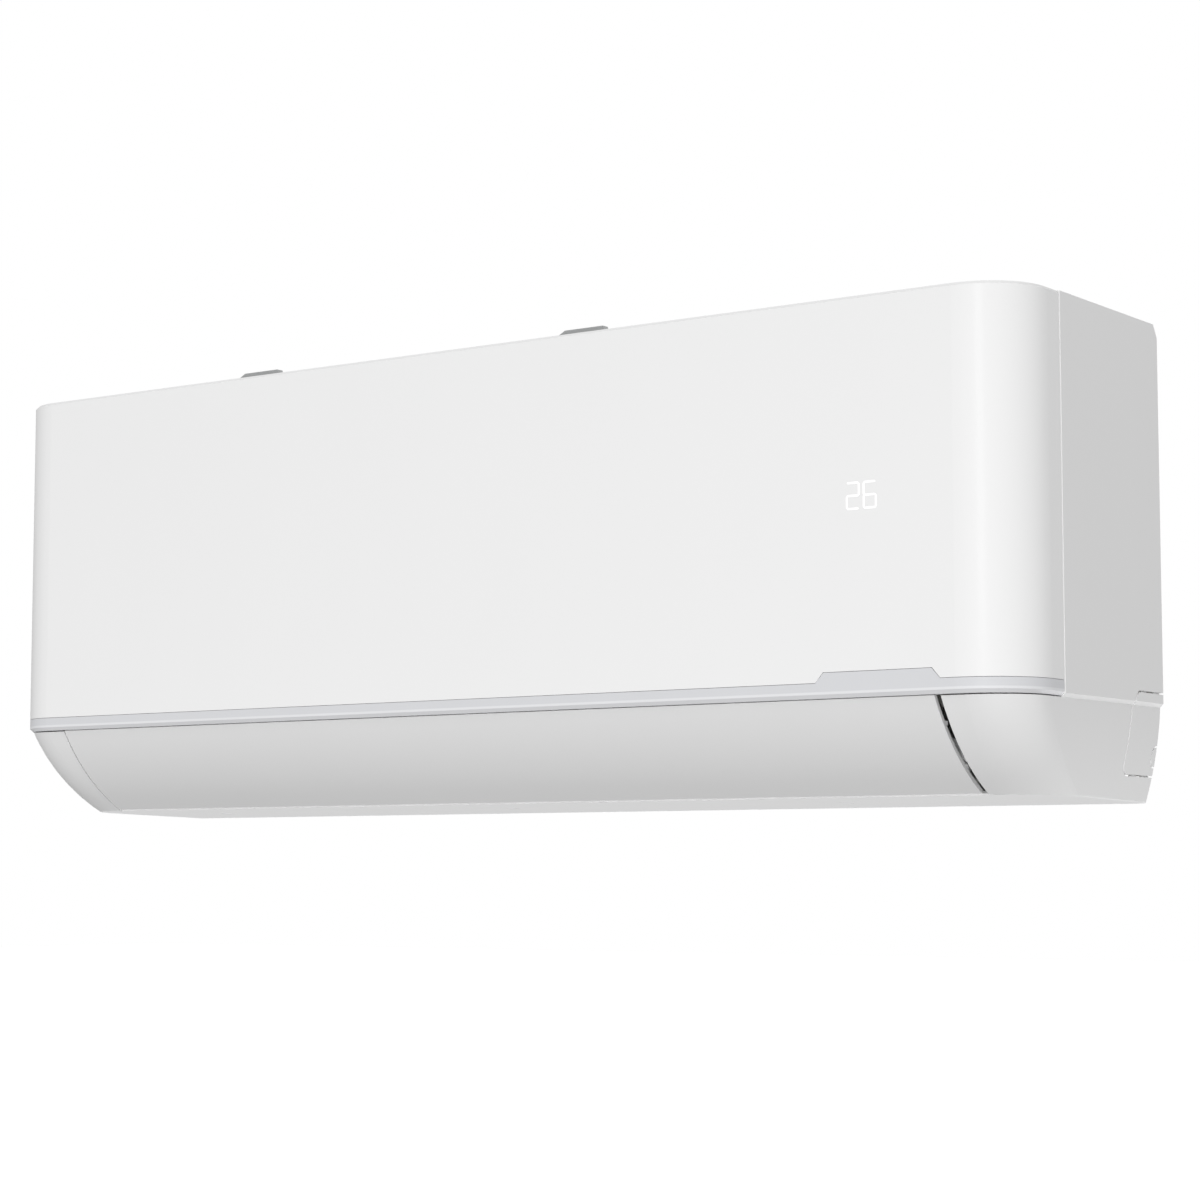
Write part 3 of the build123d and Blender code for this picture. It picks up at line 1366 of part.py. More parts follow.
# ---------------------------------------------------------------- mounting plate
def make_mounting_plate():
    """Steel plate on the wall: screw holes, windows and two hooks."""
    plate = block(-plate_half_x, plate_half_x, -plate_thickness, 0, -plate_half_z, plate_half_z)
    plate = fillet(plate.edges().filter_by(Axis.Y), plate_corner_r)
    for x in plate_window_x:
        window = block(x - plate_window_width / 2, x + plate_window_width / 2, -2 * plate_thickness,
                       plate_thickness, -plate_window_height / 2, plate_window_height / 2)
        plate -= fillet(window.edges().filter_by(Axis.Y), plate_corner_r)
    for x in (-plate_hole_x, plate_hole_x):
        for z in (-plate_hole_z, plate_hole_z):
            plate -= rod_y(x, z, plate_hole_r, -2 * plate_thickness, plate_thickness)
    out_y = chassis_rear_y - chassis_wall - hook_gap
    for side in (-1, 1):
        x0 = side * hook_x - hook_width / 2
        x1 = side * hook_x + hook_width / 2
        low = hook_z - hook_lip
        plate += block(x0, x1, -plate_thickness, 0, plate_half_z - plate_corner_r, low + plate_thickness)
        plate += block(x0, x1, out_y - plate_thickness, 0, low, low + plate_thickness)
        plate += block(x0, x1, out_y - plate_thickness, out_y, low, hook_z + hook_lip)
    return plate


# ---------------------------------------------------------------- fasteners
def make_screws():
    screws = []
    top = pillar_bottom_z - running_gap - skin
    for x in pillar_x:
        head = rod_z(x, pillar_y, screw_head_r, top - screw_head_height, top)
        screws.append(head + rod_z(x, pillar_y, screw_r, top - skin / 2,
                                   pillar_bottom_z + screw_length - 1))
    return Compound(children=screws)


def make_end_plate():
    """Angled plate that closes the space between the outlet's right end and the cheek."""
    low_z = screw_place_z(end_plate_y) + skin + running_gap
    under_z = end_plate_top_z - end_plate_wall
    outline = [(end_plate_front_y, under_z), (end_plate_y, under_z), (end_plate_y, low_z),
               (end_plate_y + end_plate_wall, low_z), (end_plate_y + end_plate_wall, end_plate_top_z),
               (end_plate_front_y, end_plate_top_z)]
    return plate_x(outline, bulkhead_right_x + bulkhead_thickness + running_gap,
                   flap_half_length + flap_side_gap - running_gap)


def make_screw_caps():
    caps = []
    low = screw_place_z(pillar_y) + cap_seat_gap
    for x in pillar_x:
        caps.append(rod_z(x, pillar_y, recess_r - shaft_gap, low, low + cap_thickness))
    return Compound(children=caps)


# ---------------------------------------------------------------- all pieces
def main():
    os.makedirs("parts", exist_ok=True)
    casing, cover = make_outer_casing()
    write("outer_casing", casing)
    write("pipe_cover_right", cover)
    write("pipe_cover_left", mirror(cover, Plane.YZ))
    write("front_panel", make_front_panel())
    write("trim_strip", make_trim_strip())
    write("air_flap", make_flap())
    for side, name in ((-1, "left"), (1, "right")):
        frame, mesh = make_filter(side)
        write("filter_frame_" + name, frame)
        write("filter_mesh_" + name, mesh)
    write("rear_chassis", make_chassis())
    write("fan_wheel", make_fan_wheel())
    write("hub_screw", make_hub_screw())
    write("fan_stub_shaft", make_stub_shaft())
    write("motor_shaft", make_motor_shaft())
    write("fan_motor", make_motor())
    write("motor_clamp", make_motor_clamp())
    write("fan_bearing", make_bearing())
    write("bearing_mount", make_bearing_mount())
    places = vane_places()
    for i, x in enumerate(places):
        write("swing_vane_" + str(i + 1), make_vane(x))
    write("link_bar_left", make_link(places[:vane_count_per_gang]))
    write("link_bar_right", make_link(places[vane_count_per_gang:]))
    tubes = []
    plates = []
    for name, (foot, head) in coil_slabs().items():
        fins, ends, coil = make_slab(foot, head)
        write("coil_fins_" + name, fins)
        plates += ends
        tubes.append(coil)
    write("coil_end_plates", Compound(children=plates))
    write("coil_tubes", Compound(children=tubes))
    write("drain_pan", make_drain_pan())
    write("gas_pipe", make_pipe(pipe_route(gas_coil_exit(), gas_channel_z, gas_turn_x), gas_pipe_r))
    liquid_route = pipe_route(liquid_coil_exit(), liquid_channel_z, liquid_turn_x)
    write("liquid_pipe", make_pipe(liquid_route, liquid_pipe_r))
    write("gas_fitting", make_fitting(gas_channel_z, gas_pipe_r, gas_nut_af, gas_stud_r))
    write("liquid_fitting", make_fitting(liquid_channel_z, liquid_pipe_r, liquid_nut_af, liquid_stud_r))
    write("pipe_clamp", make_pipe_clamp())
    write("electrical_box", make_electrical_box())
    write("electrical_cover", make_electrical_cover())
    write("control_board", make_control_board())
    write("terminal_block", make_terminal_block())
    write("capacitor", make_capacitor())
    write("transformer", make_transformer())
    write("display_board", make_display_board())
    write("digit_module", make_digit_module())
    write("remote_receiver", make_receiver())
    write("manual_button", make_button())
    write("button_switch", make_button_switch())
    write("flap_motor", make_flap_motor())
    write("flap_bush", make_flap_bush())
    write("room_sensor", make_room_sensor())
    write("mounting_plate", make_mounting_plate())
    write("casing_screws", make_screws())
    write("screw_caps", make_screw_caps())
    write("outlet_end_plate", make_end_plate())


main()
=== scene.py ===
"""Looks of a wall-hung indoor unit of a mini split air conditioner.

Metres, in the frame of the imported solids: +X right as seen from the room, +Y into
the wall, +Z up.  The origin is the middle of the mounting plate's wall face.
"""
import json
import math
import bpy
import bmesh
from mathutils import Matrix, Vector


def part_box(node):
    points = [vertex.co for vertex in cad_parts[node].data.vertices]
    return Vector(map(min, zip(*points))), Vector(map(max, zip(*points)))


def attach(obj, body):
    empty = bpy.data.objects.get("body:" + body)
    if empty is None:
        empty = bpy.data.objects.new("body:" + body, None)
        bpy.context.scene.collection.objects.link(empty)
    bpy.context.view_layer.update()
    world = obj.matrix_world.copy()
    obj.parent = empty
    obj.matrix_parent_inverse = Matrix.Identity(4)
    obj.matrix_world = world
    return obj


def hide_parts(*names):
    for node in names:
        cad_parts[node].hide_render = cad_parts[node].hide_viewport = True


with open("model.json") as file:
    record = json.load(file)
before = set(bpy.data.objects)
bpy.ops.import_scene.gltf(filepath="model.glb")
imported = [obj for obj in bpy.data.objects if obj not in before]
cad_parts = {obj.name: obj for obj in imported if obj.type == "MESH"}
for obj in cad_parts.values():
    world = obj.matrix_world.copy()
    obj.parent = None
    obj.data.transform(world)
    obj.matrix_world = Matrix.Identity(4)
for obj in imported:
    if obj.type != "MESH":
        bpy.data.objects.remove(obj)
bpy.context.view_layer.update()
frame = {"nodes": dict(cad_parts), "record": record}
nodes = frame["nodes"]
record = frame["record"]

WHITE = (1.0, 1.0, 1.0)
QUARTER_TURN = math.pi / 2

# ---- camera, as fitted to the photograph ----
CAMERA_PLACE = (1.13337, -1.61697, -0.18934)
CAMERA_SIDE = 35.426         # degrees right of straight on, from where it sees the unit
CAMERA_BELOW = 5.462         # and degrees below level
CAMERA_LENS = 86.855         # mm, on the sensor below
CAMERA_SENSOR = 36.0
CAMERA_NEAR = 0.05
CAMERA_FAR = 60.0

# ---- room ----
FLOOR_Z = -0.62
FLOOR_SIZE = 24.0
PAPER_WHITE = 1.0            # backdrop as the camera sees it
LIGHT_FROM_BELOW = 0.0       # backdrop as the unit sees it, straight down
LIGHT_FROM_ABOVE = 0.99      # and straight up

LAMP_AWAY = 12.0
LAMP_SIDE = 2.4
LAMPS = (                    # degrees right of the unit's front and degrees up, as the unit sees it
    dict(name="key box", turn=25.0, rise=-25.0, watts=850.0, mirrored=True),
    dict(name="front box", turn=20.0, rise=10.0, watts=34.0, mirrored=True),
    dict(name="floor box", turn=180.0, rise=-32.0, watts=1550.0, mirrored=False),
)

# ---- mottling ----
NOISE_RANGE = (0.3, 0.7)     # what the noise texture mostly keeps to
TONE_RANGE = (0.2, 0.8)      # where the darker tone ends and the lighter one begins

# ---- moulded plastic ----
FLOW_PATCH = 0.06
FLOW_DETAIL = 3.0
FLOW_DENSITY = (1, 1, 0.4)   # the flow runs up and down
GLOSS_PATCH = 0.018
GLOSS_SPREAD = 0.015         # roughness is this much more or less from patch to patch
GRAIN_DETAIL = 1.0
LACQUER_ROUGHNESS = 0.12
PLASTIC_IOR = 1.5

# ---- bare metal ----
BRUSH_DETAIL = 4.0
WEAR_PATCH = 0.01
WEAR_DETAIL = 3.0
WEAR_SHINE = 0.07            # worn patches are this much smoother
WEAR_DULL = 0.10             # and others this much rougher
METAL_RELIEF = 0.00001

# ---- zinc coated sheet ----
SPANGLES_PER_METRE = 110.0
ZINC_DARK = (0.58, 0.60, 0.62)
ZINC_LIGHT = (0.67, 0.69, 0.71)
ZINC_ROUGHNESS = (0.36, 0.46)
ZINC_GRAIN = 0.002

# ---- lit surfaces ----
GLOW_PATCH = 0.004
GLOW_DIM = 0.97
GLOW_GRAIN = 0.002
GLOW_ROUGHNESS = (0.3, 0.4)

# ---- silver strip, whose lower lip carries painted light ----
STRIP_SILVER = (0.676, 0.682, 0.702)
# painted light: the paler tone of the downward lower lip, as if lit from below
STRIP_PAINTED_LIGHT = (0.775, 0.78, 0.797)
STRIP_PAINTED_LIGHT_DIM = 0.98
STRIP_LIP = 0.0037           # height of its lower lip, which is painted paler as a painted highlight from below
STRIP_BLEND = 0.0001         # half the height over which the two tones meet

# ---- lit digits, which shine through the panel ----
DIGITS_X = 0.3007            # middle of the two digits
DIGITS_Z = 0.0286
DIGIT_WIDTH = 0.0080         # between the middles of the side strokes
DIGIT_HEIGHT = 0.0150        # between the middles of the top and bottom strokes
DIGIT_GAP = 0.0032
DIGIT_STROKE = 0.0011
DIGIT_BREAK = 0.00012        # from a stroke's tip to the corner where strokes would meet
DIGIT_RELIEF = 0.00004
DIGIT_LIGHT = 0.2
STROKE_ENDS = {              # each stroke from corner to corner, as shares of width and height
    "a": ((0, 1), (1, 1)),
    "b": ((1, 1), (1, 0.5)),
    "c": ((1, 0.5), (1, 0)),
    "d": ((0, 0), (1, 0)),
    "e": ((0, 0.5), (0, 0)),
    "f": ((0, 1), (0, 0.5)),
    "g": ((0, 0.5), (1, 0.5)),
}
STROKES_OF_2 = "abged"
STROKES_OF_6 = "acdefg"

# ---- filter net ----
NET_THREAD_R = 0.00017
NET_THREAD_SIDES = 6
NET_PITCH = 0.0018           # at most, as the threads are spread evenly
NET_ROWS_APART = 0.00017     # between the axes of the crossing rows, pressed into each other
NET_GRIP = 0.0012            # how far the net runs on inside the frame's rim

# ---- coil fins ----
FIN_THICKNESS = 0.00016
FIN_PITCH = 0.0018
FIN_WAVE = 0.0003            # how far a fin's ripple swings to either side
FIN_RIPPLES = 3
POINTS_PER_RIPPLE = 4
FIN_SHORT = 0.0003           # a fin stops this far inside its block, all round
COIL_X = (-0.3238, 0.2408)   # both ends of every block
COIL_THICKNESS = 0.020
COIL_BLOCKS = (              # node, foot and head (y, z) of the block's middle line
    ("coil_fins_front", (-0.1535, -0.0540), (-0.1535, 0.0400)),
    ("coil_fins_top", (-0.1500, 0.0490), (-0.0960, 0.1120)),
    ("coil_fins_rear", (-0.0400, 0.0320), (-0.0800, 0.1200)),
)

# ---- threads of the flare studs ----
THREAD_PITCH = 0.0016
THREAD_RIDGE = 0.0004        # radius of the circle round the ridge's section
THREAD_RIDGE_SIDES = 3
THREAD_STEPS = 20            # points to a turn
STUD_X = (-0.0470, -0.0360)
STUD_Y = -0.0220
STUDS = (                    # name, height, radius
    ("gas_stud_thread", -0.0620, 0.00794),
    ("liquid_stud_thread", -0.0880, 0.00555),
)

BODY_OF = {part: body
           for body, parts in record["behaviour"]["bodies"].items()
           for part in parts}


# ---------------------------------------------------------------- nodes
def plug(tree, value, socket):
    """A socket is fed from another socket, or set to a plain value."""
    if isinstance(value, bpy.types.NodeSocket):
        tree.links.new(value, socket)
    else:
        socket.default_value = value


def node(tree, kind, **inputs):
    """A node with its inputs fed or set; _ stands for a space in an input's name."""
    made = tree.nodes.new(kind)
    for name, value in inputs.items():
        plug(tree, value, made.inputs[name.replace("_", " ")])
    return made


def maths(tree, operation, first, second=0.0):
    """One step of arithmetic."""
    made = tree.nodes.new("ShaderNodeMath")
    made.operation = operation
    plug(tree, first, made.inputs[0])
    plug(tree, second, made.inputs[1])
    return made.outputs[0]


# ---------------------------------------------------------------- finishes
def start_finish(name):
    """A new material and its tree."""
    material = bpy.data.materials.new(name)
    material.use_nodes = True
    return material, material.node_tree


def surface(tree, **inputs):
    """The inputs of a material's shader, fed or set."""
    shader = tree.nodes["Principled BSDF"]
    for name, value in inputs.items():
        plug(tree, value, shader.inputs[name.replace("_", " ")])


def place(tree, density=(1, 1, 1)):
    """Object coordinates, on which a pattern is so many times finer along each axis."""
    where = tree.nodes.new("ShaderNodeTexCoord")
    mapping = node(tree, "ShaderNodeMapping", Vector=where.outputs["Object"], Scale=density)
    return mapping.outputs["Vector"]


def noise(tree, patch, detail=2.0, density=(1, 1, 1)):
    """Soft mottling in patches about `patch` metres across."""
    made = node(tree, "ShaderNodeTexNoise", Vector=place(tree, density), Scale=1 / patch,
                Detail=detail)
    return made.outputs["Fac"]


def between(tree, fac, low, high, span=NOISE_RANGE):
    """A number that runs from low to high as `fac` runs over its span."""
    made = node(tree, "ShaderNodeMapRange", Value=fac, From_Min=span[0], From_Max=span[1],
                To_Min=low, To_Max=high)
    return made.outputs["Result"]


def two_tone(tree, fac, dark, light):
    """A colour between two, chosen by the mottling."""
    ramp = node(tree, "ShaderNodeValToRGB", Fac=fac)
    ramp.color_ramp.interpolation = "EASE"
    for stop, position, colour in zip(ramp.color_ramp.elements, TONE_RANGE, (dark, light)):
        stop.position = position
        stop.color = (*colour, 1)
    return ramp.outputs["Color"]


def raised(tree, height, depth):
    """Fine relief of `depth` metres."""
    return node(tree, "ShaderNodeBump", Height=height, Distance=depth).outputs["Normal"]


def grey(level):
    """A neutral colour."""
    return (level, level, level)


def shade(colour, share):
    """A colour made darker."""
    return tuple(c * share for c in colour)


def moulded(name, colour, roughness, grain=0.0007, relief=0.000012, mottle=0.006, lacquer=0.0):
    """Moulded plastic: faint flow mottling, uneven gloss and the tool's grain."""
    material, tree = start_finish(name)
    flow = noise(tree, FLOW_PATCH, FLOW_DETAIL, FLOW_DENSITY)
    gloss = noise(tree, GLOSS_PATCH)
    surface(tree,
            Base_Color=two_tone(tree, flow, shade(colour, 1 - mottle), colour),
            Roughness=between(tree, gloss, roughness - GLOSS_SPREAD, roughness + GLOSS_SPREAD),
            Normal=raised(tree, noise(tree, grain, GRAIN_DETAIL), relief),
            Coat_Weight=lacquer,
            Coat_Roughness=LACQUER_ROUGHNESS,
            IOR=PLASTIC_IOR)
    return material


def strip_silver(name):
    """Silver plastic whose lower lip is painted a shade paler: painted light, as if lit from below.
    """
    material = moulded(name, STRIP_SILVER, roughness=0.30, grain=0.0004, mottle=0.02)
    tree = material.node_tree
    upper = tree.nodes["Principled BSDF"].inputs["Base Color"].links[0].from_socket
    flow = noise(tree, FLOW_PATCH, FLOW_DETAIL)
    # painted light: the lip's paler tone stands in for light falling on it from below
    lower = two_tone(tree, flow, shade(STRIP_PAINTED_LIGHT, STRIP_PAINTED_LIGHT_DIM), STRIP_PAINTED_LIGHT)
    height = node(tree, "ShaderNodeSeparateXYZ", Vector=place(tree)).outputs["Z"]
    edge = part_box("trim_strip")[0].z + STRIP_LIP
    above = between(tree, height, 0.0, 1.0, (edge - STRIP_BLEND, edge + STRIP_BLEND))
    mix = node(tree, "ShaderNodeMixRGB", Fac=above, Color1=lower, Color2=upper)
    surface(tree, Base_Color=mix.outputs["Color"])
    return material


def metal(name, dark, light, roughness, density=(1, 1, 1), grain=0.0012):
    """Bare metal, whose brushed or drawn grain runs along its axes of least density."""
    material, tree = start_finish(name)
    brushed = noise(tree, grain, BRUSH_DETAIL, density)
    wear = noise(tree, WEAR_PATCH, WEAR_DETAIL)
    surface(tree,
            Metallic=1.0,
            Base_Color=two_tone(tree, brushed, dark, light),
            Roughness=between(tree, wear, roughness - WEAR_SHINE, roughness + WEAR_DULL),
            Normal=raised(tree, brushed, METAL_RELIEF))
    return material


def galvanised(name):
    """Zinc coated sheet with its spangle."""
    material, tree = start_finish(name)
    cells = node(tree, "ShaderNodeTexVoronoi", Vector=place(tree), Scale=SPANGLES_PER_METRE)
    spangle = cells.outputs["Color"]
    surface(tree,
            Metallic=1.0,
            Base_Color=two_tone(tree, spangle, ZINC_DARK, ZINC_LIGHT),
            Roughness=between(tree, spangle, *ZINC_ROUGHNESS),
            Normal=raised(tree, noise(tree, ZINC_GRAIN), METAL_RELIEF))
    return material


def glow(name, strength):
    """White surface that gives off an even light of its own."""
    material, tree = start_finish(name)
    surface(tree,
            Base_Color=two_tone(tree, noise(tree, GLOW_PATCH), shade(WHITE, GLOW_DIM), WHITE),
            Roughness=between(tree, noise(tree, GLOW_GRAIN), *GLOW_ROUGHNESS),
            Emission_Color=(*WHITE, 1),
            Emission_Strength=strength)
    return material


# Plastics have a colour and a roughness.  Metals have a dark and a light tone, a
# roughness and, where the grain has a direction, its density along each axis.
FINISHES = {
    # outside
    "white_plastic": moulded("casing white", grey(0.83), 0.34),
    "panel_plastic": moulded("panel white", grey(0.86), 0.30, relief=0.000006, lacquer=0.25),
    "silver_plastic": strip_silver("strip silver"),
    "flap_plastic": moulded("flap white", grey(0.80), 0.42),
    "button_plastic": moulded("button white", (0.80, 0.80, 0.81), 0.34),
    # filters
    "filter_plastic": moulded("filter grey", (0.54, 0.55, 0.55), 0.45),
    "filter_net": moulded("filter net grey", (0.50, 0.53, 0.55), 0.55),
    # air path
    "grey_plastic": moulded("chassis grey", (0.62, 0.62, 0.60), 0.48, mottle=0.06),
    "foam_pan": moulded("pan white", (0.74, 0.74, 0.72), 0.75,
                        grain=0.002, relief=0.0001, mottle=0.08),
    "fan_plastic": moulded("fan black", (0.035, 0.035, 0.038), 0.40, mottle=0.15),
    "dark_plastic": moulded("vane grey", (0.09, 0.09, 0.095), 0.45, mottle=0.12),
    "rubber": moulded("rubber black", grey(0.02), 0.75, mottle=0.2),
    # electrics
    "box_plastic": moulded("box cream", (0.74, 0.72, 0.66), 0.50, mottle=0.05),
    "circuit_board": moulded("board green", (0.03, 0.20, 0.09), 0.35, mottle=0.3),
    "black_plastic": moulded("black plastic", (0.02, 0.02, 0.022), 0.40, mottle=0.2),
    "core_steel": metal("core steel", (0.16, 0.15, 0.14), (0.34, 0.33, 0.32), 0.55),
    # metals
    "steel": metal("turned steel", (0.42, 0.42, 0.43), (0.62, 0.62, 0.63), 0.30, (1, 8, 8)),
    "motor_can": metal("motor can", grey(0.50), grey(0.66), 0.42, (1, 4, 4)),
    "fin_aluminium": metal("fin aluminium", (0.60, 0.66, 0.70), (0.80, 0.84, 0.86), 0.34,
                           (1, 6, 1)),
    "copper": metal("drawn copper", (0.55, 0.24, 0.13), (0.78, 0.42, 0.28), 0.30,
                    (0.3, 3, 3), grain=0.004),
    "sensor_copper": metal("sensor copper", (0.55, 0.28, 0.17), (0.74, 0.45, 0.31), 0.34),
    "brass": metal("turned brass", (0.60, 0.44, 0.16), (0.78, 0.62, 0.30), 0.28, (4, 1, 1)),
    "galvanised_steel": galvanised("zinc sheet"),
}


def dress(obj, material):
    """One finish all over a piece."""
    obj.data.materials.clear()
    obj.data.materials.append(material)


def dress_solids():
    """Every solid of the part gets its slot's finish."""
    for part in record["subparts"]:
        solid = nodes[part["node"]]
        finish = FINISHES[part["material_slot"]]
        if not solid.data.materials:
            solid.data.materials.append(finish)
        for slot in solid.material_slots:
            slot.material = finish


# ---------------------------------------------------------------- room
def direction(turn, rise):
    """From the unit, so many degrees right of its front and so many degrees up."""
    turn = math.radians(turn)
    rise = math.radians(rise)
    level = math.cos(rise)
    return Vector((math.sin(turn) * level, -math.cos(turn) * level, math.sin(rise)))


def set_up(name, data, spot, look):
    """A camera or a lamp in its spot, looking along a direction."""
    obj = bpy.data.objects.new(name, data)
    bpy.context.collection.objects.link(obj)
    obj.location = spot
    obj.rotation_mode = "QUATERNION"
    obj.rotation_quaternion = look.to_track_quat("-Z", "Y")
    return obj


def add_camera():
    """The view of the photograph."""
    camera = bpy.data.cameras.new("camera")
    camera.sensor_width = CAMERA_SENSOR
    camera.lens = CAMERA_LENS
    camera.clip_start = CAMERA_NEAR
    camera.clip_end = CAMERA_FAR
    look = -direction(CAMERA_SIDE, -CAMERA_BELOW)
    bpy.context.scene.camera = set_up("camera", camera, CAMERA_PLACE, look)
    bpy.context.scene.view_settings.view_transform = "Standard"


def add_room():
    """White room: paper white to the camera, and to the unit brighter the higher it looks."""
    world = bpy.data.worlds.new("studio")
    bpy.context.scene.world = world
    world.use_nodes = True
    tree = world.node_tree
    tree.nodes.clear()
    where = tree.nodes.new("ShaderNodeTexCoord")
    height = node(tree, "ShaderNodeSeparateXYZ", Vector=where.outputs["Generated"]).outputs["Z"]
    light = between(tree, height, LIGHT_FROM_BELOW, LIGHT_FROM_ABOVE, (-1, 1))
    felt = node(tree, "ShaderNodeBackground", Color=(*WHITE, 1), Strength=light)
    seen = node(tree, "ShaderNodeBackground", Color=(*WHITE, 1), Strength=PAPER_WHITE)
    path = tree.nodes.new("ShaderNodeLightPath")
    mix = node(tree, "ShaderNodeMixShader", Fac=path.outputs["Is Camera Ray"])
    plug(tree, felt.outputs["Background"], mix.inputs[1])
    plug(tree, seen.outputs["Background"], mix.inputs[2])
    node(tree, "ShaderNodeOutputWorld", Surface=mix.outputs["Shader"])


def add_floor():
    """White paper floor well below the unit; only the camera sees it."""
    half = FLOOR_SIZE / 2
    corners = [(x * half, y * half, FLOOR_Z) for x, y in ((-1, -1), (1, -1), (1, 1), (-1, 1))]
    mesh = bpy.data.meshes.new("floor")
    mesh.from_pydata(corners, [], [(0, 1, 2, 3)])
    floor = bpy.data.objects.new("floor", mesh)
    bpy.context.collection.objects.link(floor)
    dress(floor, glow("floor paper", PAPER_WHITE))
    floor.visible_diffuse = False
    floor.visible_glossy = False
    floor.visible_shadow = False


def add_lamp(name, turn, rise, watts, mirrored):
    """A square soft box; one that isn't mirrored draws no bright lines on rounded edges."""
    box = bpy.data.lights.new(name, "AREA")
    box.energy = watts
    box.shape = "RECTANGLE"
    box.size = LAMP_SIDE
    box.size_y = LAMP_SIDE
    out = direction(turn, rise)
    lamp = set_up(name, box, out * LAMP_AWAY, -out)
    lamp.visible_glossy = mirrored


def add_lights():
    """All the lamps."""
    for lamp in LAMPS:
        add_lamp(**lamp)


# ---------------------------------------------------------------- making pieces
def face_outward(mesh):
    """Every face looks out of its own closed shape."""
    work = bmesh.new()
    work.from_mesh(mesh)
    bmesh.ops.recalc_face_normals(work, faces=work.faces)
    work.to_mesh(mesh)
    work.free()


def new_piece(name, mesh, body, material):
    """A finished mesh becomes a piece of the scene, on its body."""
    face_outward(mesh)
    piece = bpy.data.objects.new(name, mesh)
    bpy.context.collection.objects.link(piece)
    dress(piece, material)
    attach(piece, body)
    return piece


def start_group(name, sizes):
    """A node group with a named input for each size; also its inputs and its last node."""
    group = bpy.data.node_groups.new(name, "GeometryNodeTree")
    group.interface.new_socket("Mesh", in_out="OUTPUT", socket_type="NodeSocketGeometry")
    for size, kind in sizes.items():
        group.interface.new_socket(size, in_out="INPUT", socket_type="NodeSocket" + kind)
    given = group.nodes.new("NodeGroupInput").outputs
    return group, given, group.nodes.new("NodeGroupOutput")


def row(group, shape, count, first, step, turn):
    """A straight row of copies of a shape."""
    line = node(group, "GeometryNodeMeshLine", Count=count, Start_Location=first, Offset=step)
    copies = node(group, "GeometryNodeInstanceOnPoints", Points=line.outputs["Mesh"],
                  Instance=shape, Rotation=turn)
    return copies.outputs["Instances"]


def close_group(group, last, shape, material):
    """Copies become real faces and take their finish."""
    real = node(group, "GeometryNodeRealizeInstances", Geometry=shape)
    finish = node(group, "GeometryNodeSetMaterial", Geometry=real.outputs["Geometry"],
                  Material=material)
    plug(group, finish.outputs["Geometry"], last.inputs["Mesh"])


def made_by(group, name, values):
    """The plain mesh that a node group gives for these sizes."""
    holder = bpy.data.objects.new(name, bpy.data.meshes.new(name + "_start"))
    bpy.context.collection.objects.link(holder)
    modifier = holder.modifiers.new(name, "NODES")
    modifier.node_group = group
    for item in group.interface.items_tree:
        if item.in_out == "INPUT":
            modifier[item.identifier] = values[item.name]
    bpy.context.view_layer.update()
    shown = holder.evaluated_get(bpy.context.evaluated_depsgraph_get())
    mesh = bpy.data.meshes.new_from_object(shown)
    mesh.name = name
    bpy.data.objects.remove(holder)
    return mesh


# ---------------------------------------------------------------- digits
def stroke_outline(key, left, foot):
    """Corners (x, z) of one pointed stroke of the digit that starts at left and foot."""
    start, end = (Vector((left + across * DIGIT_WIDTH, foot + up * DIGIT_HEIGHT))
                  for across, up in STROKE_ENDS[key])
    along = (end - start).normalized()
    aside = Vector((-along.y, along.x)) * DIGIT_STROKE / 2
    tip = along * DIGIT_BREAK
    shoulder = along * (DIGIT_BREAK + DIGIT_STROKE / 2)
    return (start + tip, start + shoulder - aside, end - shoulder - aside,
            end - tip, end - shoulder + aside, start + shoulder + aside)


def prism_faces(first, corners):
    """Faces of a prism whose front ring of points starts at `first`, with the rear ring next."""
    front = list(range(first, first + corners))
    rear = [k + corners for k in front]
    sides = [(front[k - 1], rear[k - 1], rear[k], front[k]) for k in range(corners)]
    return [front, rear[::-1], *sides]


def add_digits():
    """Two lit digits, as thin strokes on the panel's face."""
    panel_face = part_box("front_panel")[0].y
    foot = DIGITS_Z - DIGIT_HEIGHT / 2
    left = DIGITS_X - DIGIT_WIDTH - DIGIT_GAP / 2
    points = []
    faces = []
    for strokes in (STROKES_OF_2, STROKES_OF_6):
        for key in strokes:
            outline = stroke_outline(key, left, foot)
            faces += prism_faces(len(points), len(outline))
            for y in (panel_face - DIGIT_RELIEF, panel_face):
                points += [(x, y, z) for x, z in outline]
        left += DIGIT_WIDTH + DIGIT_GAP
    mesh = bpy.data.meshes.new("lit_digits")
    mesh.from_pydata(points, [], faces)
    new_piece("lit_digits", mesh, "panel", glow("digit light", DIGIT_LIGHT))


# ---------------------------------------------------------------- filter nets
def net_group(material):
    """Two crossing rows of fine threads, welded where they cross."""
    group, given, last = start_group("filter net", {
        "Thread": "Float", "Width": "Float", "Depth": "Float",
        "Count X": "Int", "First X": "Vector", "Step X": "Vector",
        "Count Y": "Int", "First Y": "Vector", "Step Y": "Vector",
    })
    rows = group.nodes.new("GeometryNodeJoinGeometry")
    for length, axis, turn in (("Width", "Y", (0.0, QUARTER_TURN, 0.0)),
                               ("Depth", "X", (QUARTER_TURN, 0.0, 0.0))):
        thread = node(group, "GeometryNodeMeshCylinder", Vertices=NET_THREAD_SIDES,
                      Radius=given["Thread"], Depth=given[length])
        threads = row(group, thread.outputs["Mesh"], given["Count " + axis],
                      given["First " + axis], given["Step " + axis], turn)
        plug(group, threads, rows.inputs["Geometry"])
    close_group(group, last, rows.outputs["Geometry"], material)
    return group


